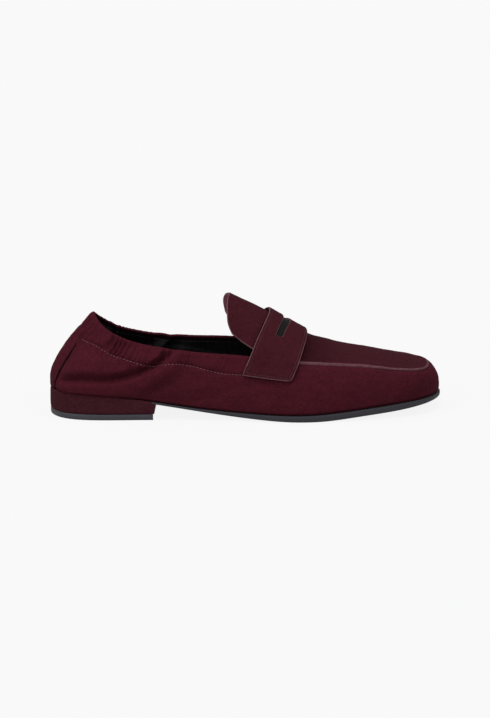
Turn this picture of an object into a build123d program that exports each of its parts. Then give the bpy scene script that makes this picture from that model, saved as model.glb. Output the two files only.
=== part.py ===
from build123d import *
import os

import numpy as np

# A soft suede penny loafer with a gathered, elasticated back: the right shoe of a pair, women's EU 38.
# Millimetres. +X runs from heel to toe, +Y to the inner (medial) side of the foot and +Z up. The origin is
# on the ground under the middle of the shoe. Every height and plan position below is measured from the
# back of the heel, and HEEL_X moves it into that frame.

# ---- Driving dimensions ----
LENGTH = 260.0  # back of the heel to the tip of the sole
HEEL_X = -LENGTH / 2
HEEL_BREAST = (70.0, 67.5)  # front face of the heel, at its top and at the ground
LIFT_HEIGHT = 4.0  # rubber top piece under the heel
SOLE_LIP = 0.8  # how far the outsole's edge stands out past the upper
HEEL_LIP = 0.6  # the same for the heel
HEEL_LEATHER = 1.0  # suede wrapped round the heel block

SUEDE = 1.4  # thickness of the upper's suede
STIFFENER = 0.6  # heel counter, toe puff and elastic, between suede and lining
LINING = 0.7
GLUE = 0.1  # gap between layers of the upper
BACKSTAY = 0.9
STAY_TOP = 0.8  # share of the way up the back at which the strip stops, under the gathered casing
WELT_WIDTH = 1.8  # raised raw edge round the apron
WELT_HEIGHT = 1.2
STRAP_LAYER = 1.2  # saddle strap's suede
STRAP_BACKING = 0.9
TONGUE_LAYER = 1.2
TONGUE_LINING = 0.7

MARGIN = SUEDE  # the wall's suede turned in under the insole
MARGIN_WIDTH = 11.0
INSOLE = 2.2
SHANK = 1.2
FILLER = 1.3
CUSHION = 2.0  # foam pad under the heel of the sock
CUSHION_END = 74.0  # where the sock liner comes down off the pad
SOCK = 1.0
SEAT_TONGUE = 1.2  # outsole over the heel
NAILS = [(20, -7.5), (20, 7.5), (44, -9.5), (44, 9.5)]  # through the insole into the heel
LIFT_PINS = [(16, 0), (52, -17), (52, 16)]
RIVETS = [(52, -0.5), (138, -0.5)]  # shank to insole

STIFFENER_DEPTH = SUEDE + GLUE
LINING_DEPTH = STIFFENER_DEPTH + STIFFENER + GLUE
INSIDE = LINING_DEPTH + LINING  # whole wall thickness

# Ribs of the last, clockwise from the back of the heel along the outer side, round the toe and back along the
# inner side. Each rib: where the wall leaves the sole (x, y), where it ends at the topline or the apron
# (x, y, z), and its fullness: how far it leans out and up at the foot, and out and down at the top.
RIBS = [
    ((0.9, 0.0), (29.3, 0.0, 67.4), (2.3, 15.4), (13.5, 13.6)),
    ((3.7, -13.0), (31.1, -7.0, 64.5), (2.2, 14.0), (9.5, 14.0)),
    ((12.0, -23.2), (35.5, -14.2, 60.0), (1.8, 13.0), (5.5, 14.0)),
    ((27.0, -28.8), (44.5, -19.6, 54.8), (1.6, 12.0), (3.5, 12.0)),
    ((49.0, -30.2), (59.0, -22.6, 49.9), (1.6, 11.0), (3.5, 11.0)),
    ((72.0, -30.8), (77.0, -24.4, 46.5), (1.8, 10.0), (4.0, 11.0)),
    ((98.0, -33.0), (100.0, -27.2, 44.1), (2.0, 11.0), (4.0, 11.0)),
    ((132.0, -38.8), (133.0, -31.2, 41.9), (2.2, 12.0), (5.0, 10.0)),
    ((165.0, -43.2), (165.0, -33.0, 37.6), (2.2, 12.5), (7.0, 5.5)),
    ((200.0, -40.6), (198.0, -32.0, 35.3), (1.8, 13.0), (6.6, 3.5)),
    ((230.0, -32.2), (228.5, -27.3, 31.2), (1.4, 10.0), (5.0, 2.2)),
    ((247.5, -22.0), (243.0, -20.5, 29.4), (1.2, 9.0), (5.2, 1.4)),
    ((256.6, -9.5), (249.4, -9.5, 29.2), (1.0, 9.5), (5.4, 1.0)),
    ((259.7, 4.0), (251.4, 3.5, 29.4), (1.0, 9.5), (5.4, 1.0)),
    ((257.2, 17.0), (249.9, 15.0, 29.5), (1.0, 9.5), (5.4, 1.0)),
    ((249.0, 27.8), (243.8, 23.5, 29.7), (1.2, 9.0), (5.2, 1.4)),
    ((230.0, 36.6), (229.5, 29.0, 31.4), (1.4, 10.0), (5.4, 2.2)),
    ((200.0, 42.0), (198.5, 33.0, 35.4), (1.8, 13.0), (6.8, 3.5)),
    ((168.0, 43.2), (166.0, 34.0, 38.4), (2.2, 12.5), (7.0, 5.5)),
    ((134.0, 37.6), (133.5, 31.4, 42.7), (2.2, 12.0), (4.5, 10.0)),
    ((100.0, 30.6), (100.0, 27.0, 45.2), (1.8, 11.0), (3.0, 11.0)),
    ((72.0, 28.4), (77.0, 24.4, 46.7), (1.6, 10.0), (3.0, 11.0)),
    ((49.0, 28.8), (59.0, 22.6, 49.8), (1.5, 11.0), (3.0, 11.0)),
    ((27.0, 28.2), (44.5, 19.6, 54.6), (1.5, 12.0), (3.2, 12.0)),
    ((12.0, 22.9), (35.5, 14.2, 60.3), (1.8, 13.0), (5.5, 14.0)),
    ((3.7, 12.9), (31.1, 7.0, 64.7), (2.2, 14.0), (9.5, 14.0)),
]
# Side profiles, as (distance from the heel, height).
SEAT = [(0, 17.5), (20, 17.0), (40, 15.5), (60, 13.2), (75, 10.9), (100, 7.4), (125, 5.4), (150, 4.2),
        (170, 4.3), (185, 5.3), (205, 7.2), (228, 9.1), (245, 10.2), (262, 10.9)]
TREAD = [(60, 12.0), (75, 9.5), (100, 5.6), (122, 2.8), (142, 0.9), (156, 0.1), (166, 0.0), (177, 0.3),
         (190, 1.4), (208, 3.2), (232, 5.2), (245, 6.6), (262, 8.4)]
CREST = [(112, 81.6), (120, 77.8), (134, 71.2), (150, 62.6), (162, 55.2), (172, 49.6), (182, 45.9),
         (199, 41.8), (230, 35.2), (243, 31.9), (252, 29.4)]
ARCH_DROP = [(112, 0.033), (125, 0.0315), (134, 0.0290), (142, 0.0252), (150, 0.0209), (162, 0.0150),
             (172, 0.0108)]
ARCH_TILT = 0.03

APRON_REAR = 134.0  # where the apron's seam leaves the topline, under the strap's back edge
# Strap edges, as (share of the way across, outer end at -1 to inner end at 1, distance from the heel).
STRAP_REAR = [(-1.0, 126.8), (-0.62, 134.6), (0.0, 145.0), (0.62, 135.4), (1.0, 127.8)]
STRAP_FRONT = [(-1.0, 157.6), (-0.92, 159.4), (-0.8, 161.8), (-0.62, 164.6), (-0.4, 167.4), (0.0, 169.8),
               (0.4, 168.0), (0.62, 165.4), (0.8, 162.6), (0.92, 160.4), (1.0, 158.6)]
STRAP_END = (0.64, 0.575)  # how far up the wall the strap's ends stop, at its back and front corners
STRAP_LIFT = (0.3, 0.6, 1.75, 1.25, 0.8, 0.7)  # clearance under the strap, from its end to the crown
SLOT_WIDTH = 4.4
SLOT_CENTRE = [(-24.6, 150.4), (0.0, 157.4), (24.6, 151.4)]  # as (y, distance from the heel)
# Free end of the tongue, and its join with the apron under the strap, as (y, distance from the heel).
TONGUE_TIP = [(-25.6, 119.6), (-23.6, 117.9), (-19.0, 116.9), (-10.0, 117.4), (0.0, 119.0), (6.0, 118.2),
              (12.0, 116.6), (18.0, 116.2), (22.4, 117.4), (24.8, 120.0), (25.6, 122.4)]
TONGUE_FRONT = [(-30.0, 133.4), (-24.0, 136.2), (-12.0, 142.6), (0.0, 146.4), (12.0, 143.0), (24.0, 137.0),
                (30.0, 134.4)]
TONGUE_HALF = (29.0, 25.6)  # half width at the apron and at the free end
TONGUE_GAP = 0.6  # between the tongue's front edge and the apron


def spline(knots, values, period=None):
    """The smooth cubic curve through values at knots, as a function; closed on itself if it has a period."""
    t, v = np.array(knots, float), np.array(values, float)
    if period:
        t, v = np.append(t, t[0] + period), np.concatenate([v, v[:1]])
    n, h = len(t), np.diff(t)
    flat = v.reshape(n, -1)
    slope = np.diff(flat, axis=0) / h[:, None]
    a, b = np.zeros((n, n)), np.zeros_like(flat)
    for i in range(1, n - 1):
        a[i, i - 1:i + 2] = h[i - 1], 2 * (h[i - 1] + h[i]), h[i]
        b[i] = 6 * (slope[i] - slope[i - 1])
    if period:
        a[0, 0], a[0, -1] = 1, -1
        a[-1, 0], a[-1, 1], a[-1, -2], a[-1, -1] = 2 * h[0], h[0], h[-1], 2 * h[-1]
        b[-1] = 6 * (slope[0] - slope[-1])
    else:
        a[0, 0] = a[-1, -1] = 1
    m = np.linalg.solve(a, b)

    def at(x):
        x = np.asarray(x, float)
        if period:
            x = t[0] + (x - t[0]) % period
        i = np.clip(np.searchsorted(t, x, side="right") - 1, 0, n - 2)
        left, right, step = x - t[i], t[i + 1] - x, h[i]
        left, right, step = left[..., None], right[..., None], step[..., None]
        out = (m[i] * right**3 + m[i + 1] * left**3) / (6 * step)
        out += (flat[i] / step - m[i] * step / 6) * right + (flat[i + 1] / step - m[i + 1] * step / 6) * left
        return out.reshape(x.shape + v.shape[1:])

    return at


def profile(stations):
    return spline([s[0] for s in stations], [s[1] for s in stations])


seat, tread, crest, arch_drop = profile(SEAT), profile(TREAD), profile(CREST), profile(ARCH_DROP)
strap_rear, strap_front, slot_centre = profile(STRAP_REAR), profile(STRAP_FRONT), profile(SLOT_CENTRE)
tongue_tip, tongue_front = profile(TONGUE_TIP), profile(TONGUE_FRONT)


def rib_knots():
    """Where each rib stands along the wall: the mean of the lengths along its foot and along its top."""
    feet = np.array([r[0] for r in RIBS] + [RIBS[0][0]])
    tops = np.array([r[1][:2] for r in RIBS] + [RIBS[0][1][:2]])
    steps = np.linalg.norm(np.diff(feet, axis=0), axis=1) / 2
    steps = steps + np.linalg.norm(np.diff(tops, axis=0), axis=1) / 2
    places = np.concatenate([[0], np.cumsum(steps)])
    return places[:-1], places[-1]


KNOTS, GIRTH = rib_knots()
foot_xy = spline(KNOTS, [r[0] for r in RIBS], GIRTH)
top_xyz = spline(KNOTS, [r[1] for r in RIBS], GIRTH)
fullness = spline(KNOTS, [r[2] + r[3] for r in RIBS], GIRTH)
TOE_RIB = 13


def rib_at(x, side):
    """The place along the wall whose top is at distance x from the heel, on side -1 (outer) or 1 (inner)."""
    low, high = (KNOTS[1], KNOTS[TOE_RIB]) if side < 0 else (KNOTS[-1], KNOTS[TOE_RIB])
    for _ in range(40):
        middle = (low + high) / 2
        low, high = (middle, high) if top_xyz(middle)[0] < x else (low, middle)
    return (low + high) / 2


def wall_surface(u, v):
    """Outer surface of the upper's wall at place u along it and share v of the way up."""
    foot, top, full = foot_xy(u), top_xyz(u), fullness(u)
    along = foot_xy(u + 0.05) - foot_xy(u - 0.05)
    out = np.stack([along[..., 1], -along[..., 0]], -1) / np.linalg.norm(along, axis=-1)[..., None]
    p0 = np.concatenate([foot, (seat(foot[..., 0]) + GLUE)[..., None]], -1)
    p1 = p0 + np.concatenate([out * full[..., 0:1], full[..., 1:2]], -1)
    p2 = top + np.concatenate([out * full[..., 2:3], -full[..., 3:4]], -1)
    v = np.asarray(v, float)[..., None]
    return (1 - v)**3 * p0 + 3 * v * (1 - v)**2 * p1 + 3 * v**2 * (1 - v) * p2 + v**3 * top


def inset(surface, u, v, depth, steps):
    """Points of a surface moved depth to its inside, for arrays u and v of one shape."""
    u, v = np.broadcast_arrays(np.asarray(u, float), np.asarray(v, float))
    du = surface(u + steps[0], v) - surface(u - steps[0], v)
    dv = surface(u, v + steps[1]) - surface(u, v - steps[1])
    n = np.cross(du, dv)
    n /= np.linalg.norm(n, axis=-1)[..., None]
    return surface(u, v) - n * depth


def wall(u, v, depth=0.0):
    return inset(wall_surface, u, v, depth, (0.05, 0.001))


def arch_z(x, y):
    """Height of the instep's arch over the foot, from under the strap to the tongue's tip."""
    return crest(x) - arch_drop(x) * y**2 + ARCH_TILT * y


U_OUTER, U_INNER = rib_at(APRON_REAR, -1), rib_at(APRON_REAR, 1)  # where the apron's seam begins
TOE_OUTER, TOE_INNER = KNOTS[11], KNOTS[15]  # the apron's two front corners


def apron_surface(s, t):
    """Point of the apron: s from its seam's start (0) to the toe (1), t from the outer seam to the inner."""
    s, t = np.broadcast_arrays(np.asarray(s, float), np.asarray(t, float))
    outer = top_xyz(U_OUTER + s * (TOE_OUTER - U_OUTER))
    inner = top_xyz(U_INNER + s * (TOE_INNER - U_INNER))
    front = top_xyz(TOE_OUTER + t * (TOE_INNER - TOE_OUTER))
    middle_front = top_xyz((TOE_OUTER + TOE_INNER) / 2)
    toe_outer, toe_inner = top_xyz(TOE_OUTER), top_xyz(TOE_INNER)
    s1, t1 = s[..., None], t[..., None]
    point = (1 - t1) * outer + t1 * inner + s1 * (front - (1 - t1) * toe_outer - t1 * toe_inner)
    middle = (outer + inner) / 2 + s1 * (middle_front - (toe_outer + toe_inner) / 2)
    point[..., 2] += (crest(middle[..., 0]) - middle[..., 2]) * 4 * t * (1 - t)
    return point


def apron(s, t, depth=0.0):
    return inset(apron_surface, s, t, depth, (0.001, 0.001))


def apron_back(t, gap):
    """The s of the apron's back edge at each t, gap in front of the tongue."""
    low, high = np.zeros_like(t), np.full_like(t, 0.5)
    for _ in range(30):
        middle = (low + high) / 2
        p = apron_surface(middle, t)
        behind = p[..., 0] < tongue_front(p[..., 1]) + gap
        low, high = np.where(behind, middle, low), np.where(behind, high, middle)
    return high


def tongue_surface(s, t):
    """Point of the tongue: s from its front edge (0) to its free end (1), t from outer (-1) to inner (1)."""
    s, t = np.broadcast_arrays(np.asarray(s, float), np.asarray(t, float))
    front, tip = t * TONGUE_HALF[0], t * TONGUE_HALF[1]
    y = front + s * (tip - front)
    x = tongue_front(front) + s * (tongue_tip(tip) - tongue_front(front))
    return np.stack([x, y, arch_z(x, y)], -1)


def tongue(s, t, depth=0.0):
    return inset(tongue_surface, s, t, depth, (-0.001, 0.001))


def strap_section(x, b):
    """Cross-section of the strap's underside at distance x from the heel, at share b of its width."""
    end = STRAP_END[0] + b * (STRAP_END[1] - STRAP_END[0])
    points = []
    for side in (-1, 1):
        u = rib_at(x, side)
        levels = np.array([end, (1 + end) / 2, 1.0])
        rise = wall(u, levels, -1.0) - wall(u, levels)
        half = abs(top_xyz(u)[1])
        y = side * half * np.array([1.0, 0.68, 0.34, 0.0])
        arch = np.stack([np.full(4, float(x)), y, arch_z(x, y)], -1)
        slope = -2 * arch_drop(x) * y + ARCH_TILT
        up = np.stack([0 * y, -slope, np.ones(4)], -1) / np.hypot(slope, 1)[:, None]
        rise[2] = rise[2] + up[0]
        rise[2] /= np.linalg.norm(rise[2])
        low = wall(u, levels) + rise * np.array(STRAP_LIFT[:3])[:, None]
        high = arch[1:] + up[1:] * np.array(STRAP_LIFT[3:])[:, None]
        points.append(np.concatenate([low, high]))
    line = np.concatenate([points[0], points[1][-2::-1]])
    length = np.concatenate([[0], np.cumsum(np.linalg.norm(np.diff(line, axis=0), axis=1))])
    middle = length[5]
    share = np.where(length < middle, length / middle - 1, (length - middle) / (length[-1] - middle))
    return spline(share, line)


def strap_table():
    """Points of the strap's underside, on 33 lines from back to front of 4 points each."""
    shares, rows = np.linspace(-1, 1, 33), np.linspace(0, 1, 4)
    table = np.zeros((33, 4, 3))
    for i, a in enumerate(shares):
        for j, b in enumerate(rows):
            x = strap_rear(a) + b * (strap_front(a) - strap_rear(a))
            table[i, j] = strap_section(x, b)(a)
    return spline(shares, table)


strap_lines = strap_table()


def strap_surface(a, b):
    """Point of the strap's underside: a from outer end (-1) to inner (1), b from back edge to front."""
    a, b = np.broadcast_arrays(np.asarray(a, float), np.asarray(b, float))
    t = 3 * b
    weights = [(1 - t) * (2 - t) * (3 - t) / 6, t * (2 - t) * (3 - t) / 2, t * (t - 1) * (3 - t) / 2,
               t * (t - 1) * (t - 2) / 6]
    return (strap_lines(a) * np.stack(weights, -1)[..., None]).sum(-2)


def strap(a, b, depth=0.0):
    return inset(strap_surface, a, b, depth, (0.002, -0.01))


# ---- Solids ----
def slab(outer, inner):
    """Closed solid between two grids of points of one size."""
    faces = []
    for grid in (outer, inner):
        rows = [[Vector(q[0] + HEEL_X, q[1], q[2]) for q in row] for row in grid]
        faces.append(Face.make_surface_from_array_of_points(rows, tol=5e-3, min_deg=3, max_deg=3))
    sides = [Face.make_surface_from_curves(a, b) for a, b in zip(faces[0].edges(), faces[1].edges())]
    return Solid(Shell(faces + sides))


def layer(surface, span_u, span_v, depth, thickness, count):
    """Layer of a surface between two depths, over a span of each of its directions."""
    u, v = np.meshgrid(np.linspace(*span_u, count[0]), np.linspace(*span_v, count[1]), indexing="ij")
    return slab(surface(u, v, depth), surface(u, v, depth + thickness))


def outline(inset_by, u0=0.0, u1=GIRTH):
    """Points of the foot's outline, moved inwards."""
    u = np.linspace(u0, u1, 73)
    along = foot_xy(u + 0.5) - foot_xy(u - 0.5)
    out = np.stack([along[:, 1], -along[:, 0]], -1) / np.linalg.norm(along, axis=1)[:, None]
    return foot_xy(u) - out * inset_by


def plan(inset_by):
    """Upright prism on the foot's outline."""
    points = [Vector(x + HEEL_X, y, -5) for x, y in outline(inset_by)[:-1]]
    return extrude(Face(Wire([Edge.make_spline(points, periodic=True)])), 80, dir=(0, 0, 1))


def side_edge(points):
    """Edge through the points of a side profile: straight where they are level."""
    if max(p.Z for p in points) - min(p.Z for p in points) < 1e-9:
        return Edge.make_line(points[0], points[-1])
    return Edge.make_spline(points)


def band(low, high, x0, x1):
    """Slab across the whole width between two side profiles, from x0 to x1."""
    x = np.linspace(x0, x1, int((x1 - x0) / 5) + 2)
    under = [Vector(a + HEEL_X, -70, float(b)) for a, b in zip(x, low(x))]
    over = [Vector(a + HEEL_X, -70, float(b)) for a, b in zip(x, high(x))]
    edges = [side_edge(under), Edge.make_line(under[-1], over[-1]), side_edge(over),
             Edge.make_line(over[0], under[0])]
    return extrude(Face(Wire(edges)), 140, dir=(0, 1, 0))


def above_seat(height):
    return lambda x: seat(x) + height


def level(height):
    return lambda x: 0 * x + height


def pins(places, radius, low, high):
    """Upright pins at (x, y) places between two heights, given as functions of x."""
    shapes = []
    for x, y in places:
        bottom, top = float(low(np.array(x))), float(high(np.array(x)))
        shapes.append(Pos(x + HEEL_X, y, (bottom + top) / 2) * Cylinder(radius, top - bottom))
    return shapes


def breast(height):
    """Distance from the heel to its sloping front face at a height."""
    top = float(seat(np.array(HEEL_BREAST[0])))
    return HEEL_BREAST[1] + (HEEL_BREAST[0] - HEEL_BREAST[1]) * height / top


def behind_breast(gap=0.0):
    """Everything behind the heel's front face."""
    points = [(-10, -5), (breast(-5) - gap, -5), (breast(40) - gap, 40), (-10, 40)]
    wire = Wire.make_polygon([Vector(x + HEEL_X, -70, z) for x, z in points], close=True)
    return extrude(Face(wire), 140, dir=(0, 1, 0))


def sock_base(x):
    """Underside of the sock liner: over the insole, and raised over the heel cushion."""
    share = np.clip((CUSHION_END - np.asarray(x, float)) / 14, 0, 1)
    return insole_top(x) + 3 * GLUE + CUSHION * share**2 * (3 - 2 * share)


def strip(surface, low, high, v, depth, thickness, count):
    """Layer of a surface from u = low(v) to u = high(v)."""
    v, share = np.meshgrid(np.linspace(*v, count[1]), np.linspace(0, 1, count[0]))
    u = low(v) + share * (high(v) - low(v))
    return slab(surface(u, v, depth), surface(u, v, depth + thickness))


def slot_cutter():
    """Upright prism through the strap's slot."""
    y = np.linspace(SLOT_CENTRE[0][0], SLOT_CENTRE[-1][0], 7)
    x, half = slot_centre(y), SLOT_WIDTH / 2
    sides = list(zip(x - half, y)) + list(zip(x[::-1] + half, y[::-1]))
    wire = Wire.make_polygon([Vector(a + HEEL_X, b, 35) for a, b in sides], close=True)
    return extrude(Face(wire), 45, dir=(0, 0, 1))


insole_base = above_seat(2 * GLUE + MARGIN)
insole_top = above_seat(2 * GLUE + MARGIN + INSOLE)
nodes = {}

# Heel
core_height = band(level(LIFT_HEIGHT + GLUE), above_seat(-SEAT_TONGUE - GLUE), -4, 80)
core = plan(HEEL_LEATHER + GLUE - HEEL_LIP) & core_height & behind_breast()
lift = plan(0.1 - HEEL_LIP) & band(level(0), level(LIFT_HEIGHT), -4, 80) & behind_breast()
cover = plan(-HEEL_LIP) & band(level(LIFT_HEIGHT + GLUE), above_seat(0), -4, 80) & behind_breast(0.3)
cover = cover - plan(HEEL_LEATHER - HEEL_LIP)
nails = pins(NAILS, 0.9, above_seat(-7.5), insole_top)
lift_pins = pins(LIFT_PINS, 1.0, level(1.4), level(LIFT_HEIGHT + 6))
nodes["heel_block"] = core - nails - lift_pins
nodes["heel_cover"] = cover
nodes["heel_top_lift"] = lift - lift_pins
nodes["heel_nails"] = nails
nodes["top_lift_pins"] = lift_pins

# Outsole: a full sole in front of the heel and a thin tongue over the heel's seat, under one top face
front = plan(-SOLE_LIP) & band(tread, level(60), 55, 270)
front = front - behind_breast(-0.15)
seat_tongue = plan(HEEL_LEATHER + 2 * GLUE - HEEL_LIP) & band(above_seat(-SEAT_TONGUE), level(60), -4, 78)
nodes["outsole"] = (front + seat_tongue) & band(level(-6), above_seat(0), -4, 270)
nodes["outsole"] = nodes["outsole"] - nails

# Inside the bottom
rivets = pins(RIVETS, 1.5, above_seat(3 * GLUE), lambda x: insole_top(x) - 2 * GLUE)
shank = band(above_seat(GLUE), above_seat(GLUE + SHANK), 30, 160)
shank = Pos(95 + HEEL_X, -0.5, 0) * Box(112, 10, 100) & shank
nodes["shank"] = shank - rivets
nodes["shank_rivets"] = rivets
filler = plan(MARGIN_WIDTH + 1.0) & band(above_seat(GLUE), above_seat(GLUE + FILLER), 156, 255)
nodes["bottom_filler"] = filler
insole = plan(INSIDE + 0.4) & band(insole_base, insole_top, -4, 270)
nodes["insole_board"] = insole - nails - rivets
pad = band(lambda x: insole_top(x) + GLUE, lambda x: sock_base(x) - GLUE, -4, CUSHION_END - 4)
nodes["heel_cushion"] = plan(INSIDE + 3) & pad
nodes["sock_liner"] = plan(INSIDE + 1.0) & band(sock_base, lambda x: sock_base(x) + SOCK, -4, 270)

# Upper: the wall is one piece from the seam at the back round the toe, turned in under the insole
wall_piece = layer(wall, (0.06, GIRTH - 0.06), (0, 1), 0, SUEDE, (141, 11))
margin = (plan(0.4) - plan(MARGIN_WIDTH)) & band(above_seat(GLUE), above_seat(GLUE + MARGIN), -4, 270)
nodes["vamp_wall"] = wall_piece + margin
stay_depth = -GLUE - BACKSTAY
nodes["backstay"] = layer(wall, (-10.5, 10.5), (0.012, STAY_TOP), stay_depth, BACKSTAY, (9, 15))
heel_end, toe_start = KNOTS[4] + 8, KNOTS[9] + 12
nodes["heel_counter"] = layer(wall, (-heel_end, heel_end), (0.06, 0.28), STIFFENER_DEPTH, STIFFENER, (41, 7))
nodes["toe_puff"] = layer(wall, (toe_start, KNOTS[17] - 12), (0.06, 0.9), STIFFENER_DEPTH, STIFFENER, (41, 9))
nodes["topline_elastic"] = layer(wall, (-105, 105), (0.8, 0.95), STIFFENER_DEPTH, STIFFENER, (61, 5))
back_span = (U_INNER - GIRTH + 1, U_OUTER - 1)
nodes["collar_facing"] = layer(wall, back_span, (0.87, 0.995), LINING_DEPTH, LINING, (81, 5))
nodes["quarter_lining"] = layer(wall, back_span, (0.06, 0.865), LINING_DEPTH, LINING, (81, 9))
nodes["vamp_lining"] = layer(wall, (U_OUTER, U_INNER), (0.06, 0.96), LINING_DEPTH, LINING, (81, 9))

# Apron, with the raised raw edge of its seam
APRON_T = (0.005, 0.995)


def apron_start(t):
    return apron_back(t, TONGUE_GAP)


nodes["apron"] = strip(apron, apron_start, lambda t: 0 * t + 0.995, APRON_T, 0, SUEDE, (41, 31))
nodes["apron_lining"] = strip(apron, lambda t: apron_start(t) + 0.015, lambda t: 0 * t + 0.96, (0.04, 0.96),
                              SUEDE + GLUE, LINING, (33, 25))
u = np.linspace(U_OUTER + 1.5, U_INNER - 1.5, 101)
rim = WELT_WIDTH / (3 * np.linalg.norm(fullness(u)[:, 2:], axis=1))
v = 1 - rim[:, None] * np.linspace(1, 0, 4)
nodes["apron_welt"] = slab(wall(u[:, None], v, -GLUE - WELT_HEIGHT), wall(u[:, None], v, -GLUE))

# Saddle strap over the instep, and the tongue that comes out from under it
strap_top = STRAP_BACKING + GLUE + STRAP_LAYER
suede = layer(strap, (-1, 1), (0, 1), -strap_top, STRAP_LAYER, (49, 7))
backing = layer(strap, (-0.985, 0.985), (0.04, 0.96), -STRAP_BACKING, STRAP_BACKING, (49, 7))
nodes["saddle_strap"] = suede - slot_cutter()
nodes["strap_backing"] = backing
nodes["tongue"] = layer(tongue, (0, 1), (-1, 1), 0, TONGUE_LAYER, (13, 41))
lining_depth = TONGUE_LAYER + GLUE
nodes["tongue_lining"] = layer(tongue, (0.02, 0.98), (-0.98, 0.98), lining_depth, TONGUE_LINING, (13, 41))

os.makedirs("parts", exist_ok=True)
for name, shape in nodes.items():
    if isinstance(shape, list):
        shape = Compound(children=shape)
    export_step(shape, f"parts/{name}.step")
    print(name, len(shape.solids()), round(shape.volume, 1), shape.is_valid)
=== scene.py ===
import bpy
import bmesh
import math
import numpy as np
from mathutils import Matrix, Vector


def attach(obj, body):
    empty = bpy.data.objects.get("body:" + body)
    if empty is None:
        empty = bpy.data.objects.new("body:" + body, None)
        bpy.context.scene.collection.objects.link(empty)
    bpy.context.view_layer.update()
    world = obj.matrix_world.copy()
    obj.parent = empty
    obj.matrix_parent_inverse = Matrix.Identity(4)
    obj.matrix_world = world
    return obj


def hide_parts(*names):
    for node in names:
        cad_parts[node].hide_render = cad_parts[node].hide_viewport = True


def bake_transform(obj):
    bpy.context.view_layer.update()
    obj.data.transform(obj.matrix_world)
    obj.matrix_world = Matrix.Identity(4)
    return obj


# A right penny loafer in soft burgundy suede. Shapes are worked out in millimetres, with distances measured
# from the back of the heel, and put into the frame in metres: +X to the toe, +Y inner side, +Z up.
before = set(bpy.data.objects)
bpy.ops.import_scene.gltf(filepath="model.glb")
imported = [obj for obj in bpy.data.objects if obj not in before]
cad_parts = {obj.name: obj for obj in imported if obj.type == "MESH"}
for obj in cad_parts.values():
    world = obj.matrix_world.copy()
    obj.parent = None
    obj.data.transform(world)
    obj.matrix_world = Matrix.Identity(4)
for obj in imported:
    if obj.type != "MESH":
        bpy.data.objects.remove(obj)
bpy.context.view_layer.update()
HEEL_X = -130.0
FINE = 2

# ---- The shoe's shape, with the same stations as the CAD ----
# Lines up the wall, from the heel round the outer side and the toe to the inner side: foot (x, y),
# top (x, y, z), how far the line leaves its foot (outwards, up) and reaches its top (outwards, down).
RIBS = [
    ((0.9, 0.0), (29.3, 0.0, 67.4), (2.3, 15.4), (13.5, 13.6)),
    ((3.7, -13.0), (31.1, -7.0, 64.5), (2.2, 14.0), (9.5, 14.0)),
    ((12.0, -23.2), (35.5, -14.2, 60.0), (1.8, 13.0), (5.5, 14.0)),
    ((27.0, -28.8), (44.5, -19.6, 54.8), (1.6, 12.0), (3.5, 12.0)),
    ((49.0, -30.2), (59.0, -22.6, 49.9), (1.6, 11.0), (3.5, 11.0)),
    ((72.0, -30.8), (77.0, -24.4, 46.5), (1.8, 10.0), (4.0, 11.0)),
    ((98.0, -33.0), (100.0, -27.2, 44.1), (2.0, 11.0), (4.0, 11.0)),
    ((132.0, -38.8), (133.0, -31.2, 41.9), (2.2, 12.0), (5.0, 10.0)),
    ((165.0, -43.2), (165.0, -33.0, 37.6), (2.2, 12.5), (7.0, 5.5)),
    ((200.0, -40.6), (198.0, -32.0, 35.3), (1.8, 13.0), (6.6, 3.5)),
    ((230.0, -32.2), (228.5, -27.3, 31.2), (1.4, 10.0), (5.0, 2.2)),
    ((247.5, -22.0), (243.0, -20.5, 29.4), (1.2, 9.0), (5.2, 1.4)),
    ((256.6, -9.5), (249.4, -9.5, 29.2), (1.0, 9.5), (5.4, 1.0)),
    ((259.7, 4.0), (251.4, 3.5, 29.4), (1.0, 9.5), (5.4, 1.0)),
    ((257.2, 17.0), (249.9, 15.0, 29.5), (1.0, 9.5), (5.4, 1.0)),
    ((249.0, 27.8), (243.8, 23.5, 29.7), (1.2, 9.0), (5.2, 1.4)),
    ((230.0, 36.6), (229.5, 29.0, 31.4), (1.4, 10.0), (5.4, 2.2)),
    ((200.0, 42.0), (198.5, 33.0, 35.4), (1.8, 13.0), (6.8, 3.5)),
    ((168.0, 43.2), (166.0, 34.0, 38.4), (2.2, 12.5), (7.0, 5.5)),
    ((134.0, 37.6), (133.5, 31.4, 42.7), (2.2, 12.0), (4.5, 10.0)),
    ((100.0, 30.6), (100.0, 27.0, 45.2), (1.8, 11.0), (3.0, 11.0)),
    ((72.0, 28.4), (77.0, 24.4, 46.7), (1.6, 10.0), (3.0, 11.0)),
    ((49.0, 28.8), (59.0, 22.6, 49.8), (1.5, 11.0), (3.0, 11.0)),
    ((27.0, 28.2), (44.5, 19.6, 54.6), (1.5, 12.0), (3.2, 12.0)),
    ((12.0, 22.9), (35.5, 14.2, 60.3), (1.8, 13.0), (5.5, 14.0)),
    ((3.7, 12.9), (31.1, 7.0, 64.7), (2.2, 14.0), (9.5, 14.0)),
]
SEAT = [(0, 17.5), (20, 17.0), (40, 15.5), (60, 13.2), (75, 10.9), (100, 7.4), (125, 5.4), (150, 4.2),
        (170, 4.3), (185, 5.3), (205, 7.2), (228, 9.1), (245, 10.2), (262, 10.9)]
TREAD = [(60, 12.0), (75, 9.5), (100, 5.6), (122, 2.8), (142, 0.9), (156, 0.1), (166, 0.0), (177, 0.3),
         (190, 1.4), (208, 3.2), (232, 5.2), (245, 6.6), (262, 8.4)]
CREST = [(112, 81.6), (120, 77.8), (134, 71.2), (150, 62.6), (162, 55.2), (172, 49.6), (182, 45.9),
         (199, 41.8), (230, 35.2), (243, 31.9), (252, 29.4)]
ARCH_DROP = [(112, 0.033), (125, 0.0315), (134, 0.0290), (142, 0.0252), (150, 0.0209), (162, 0.0150),
             (172, 0.0108)]
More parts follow.
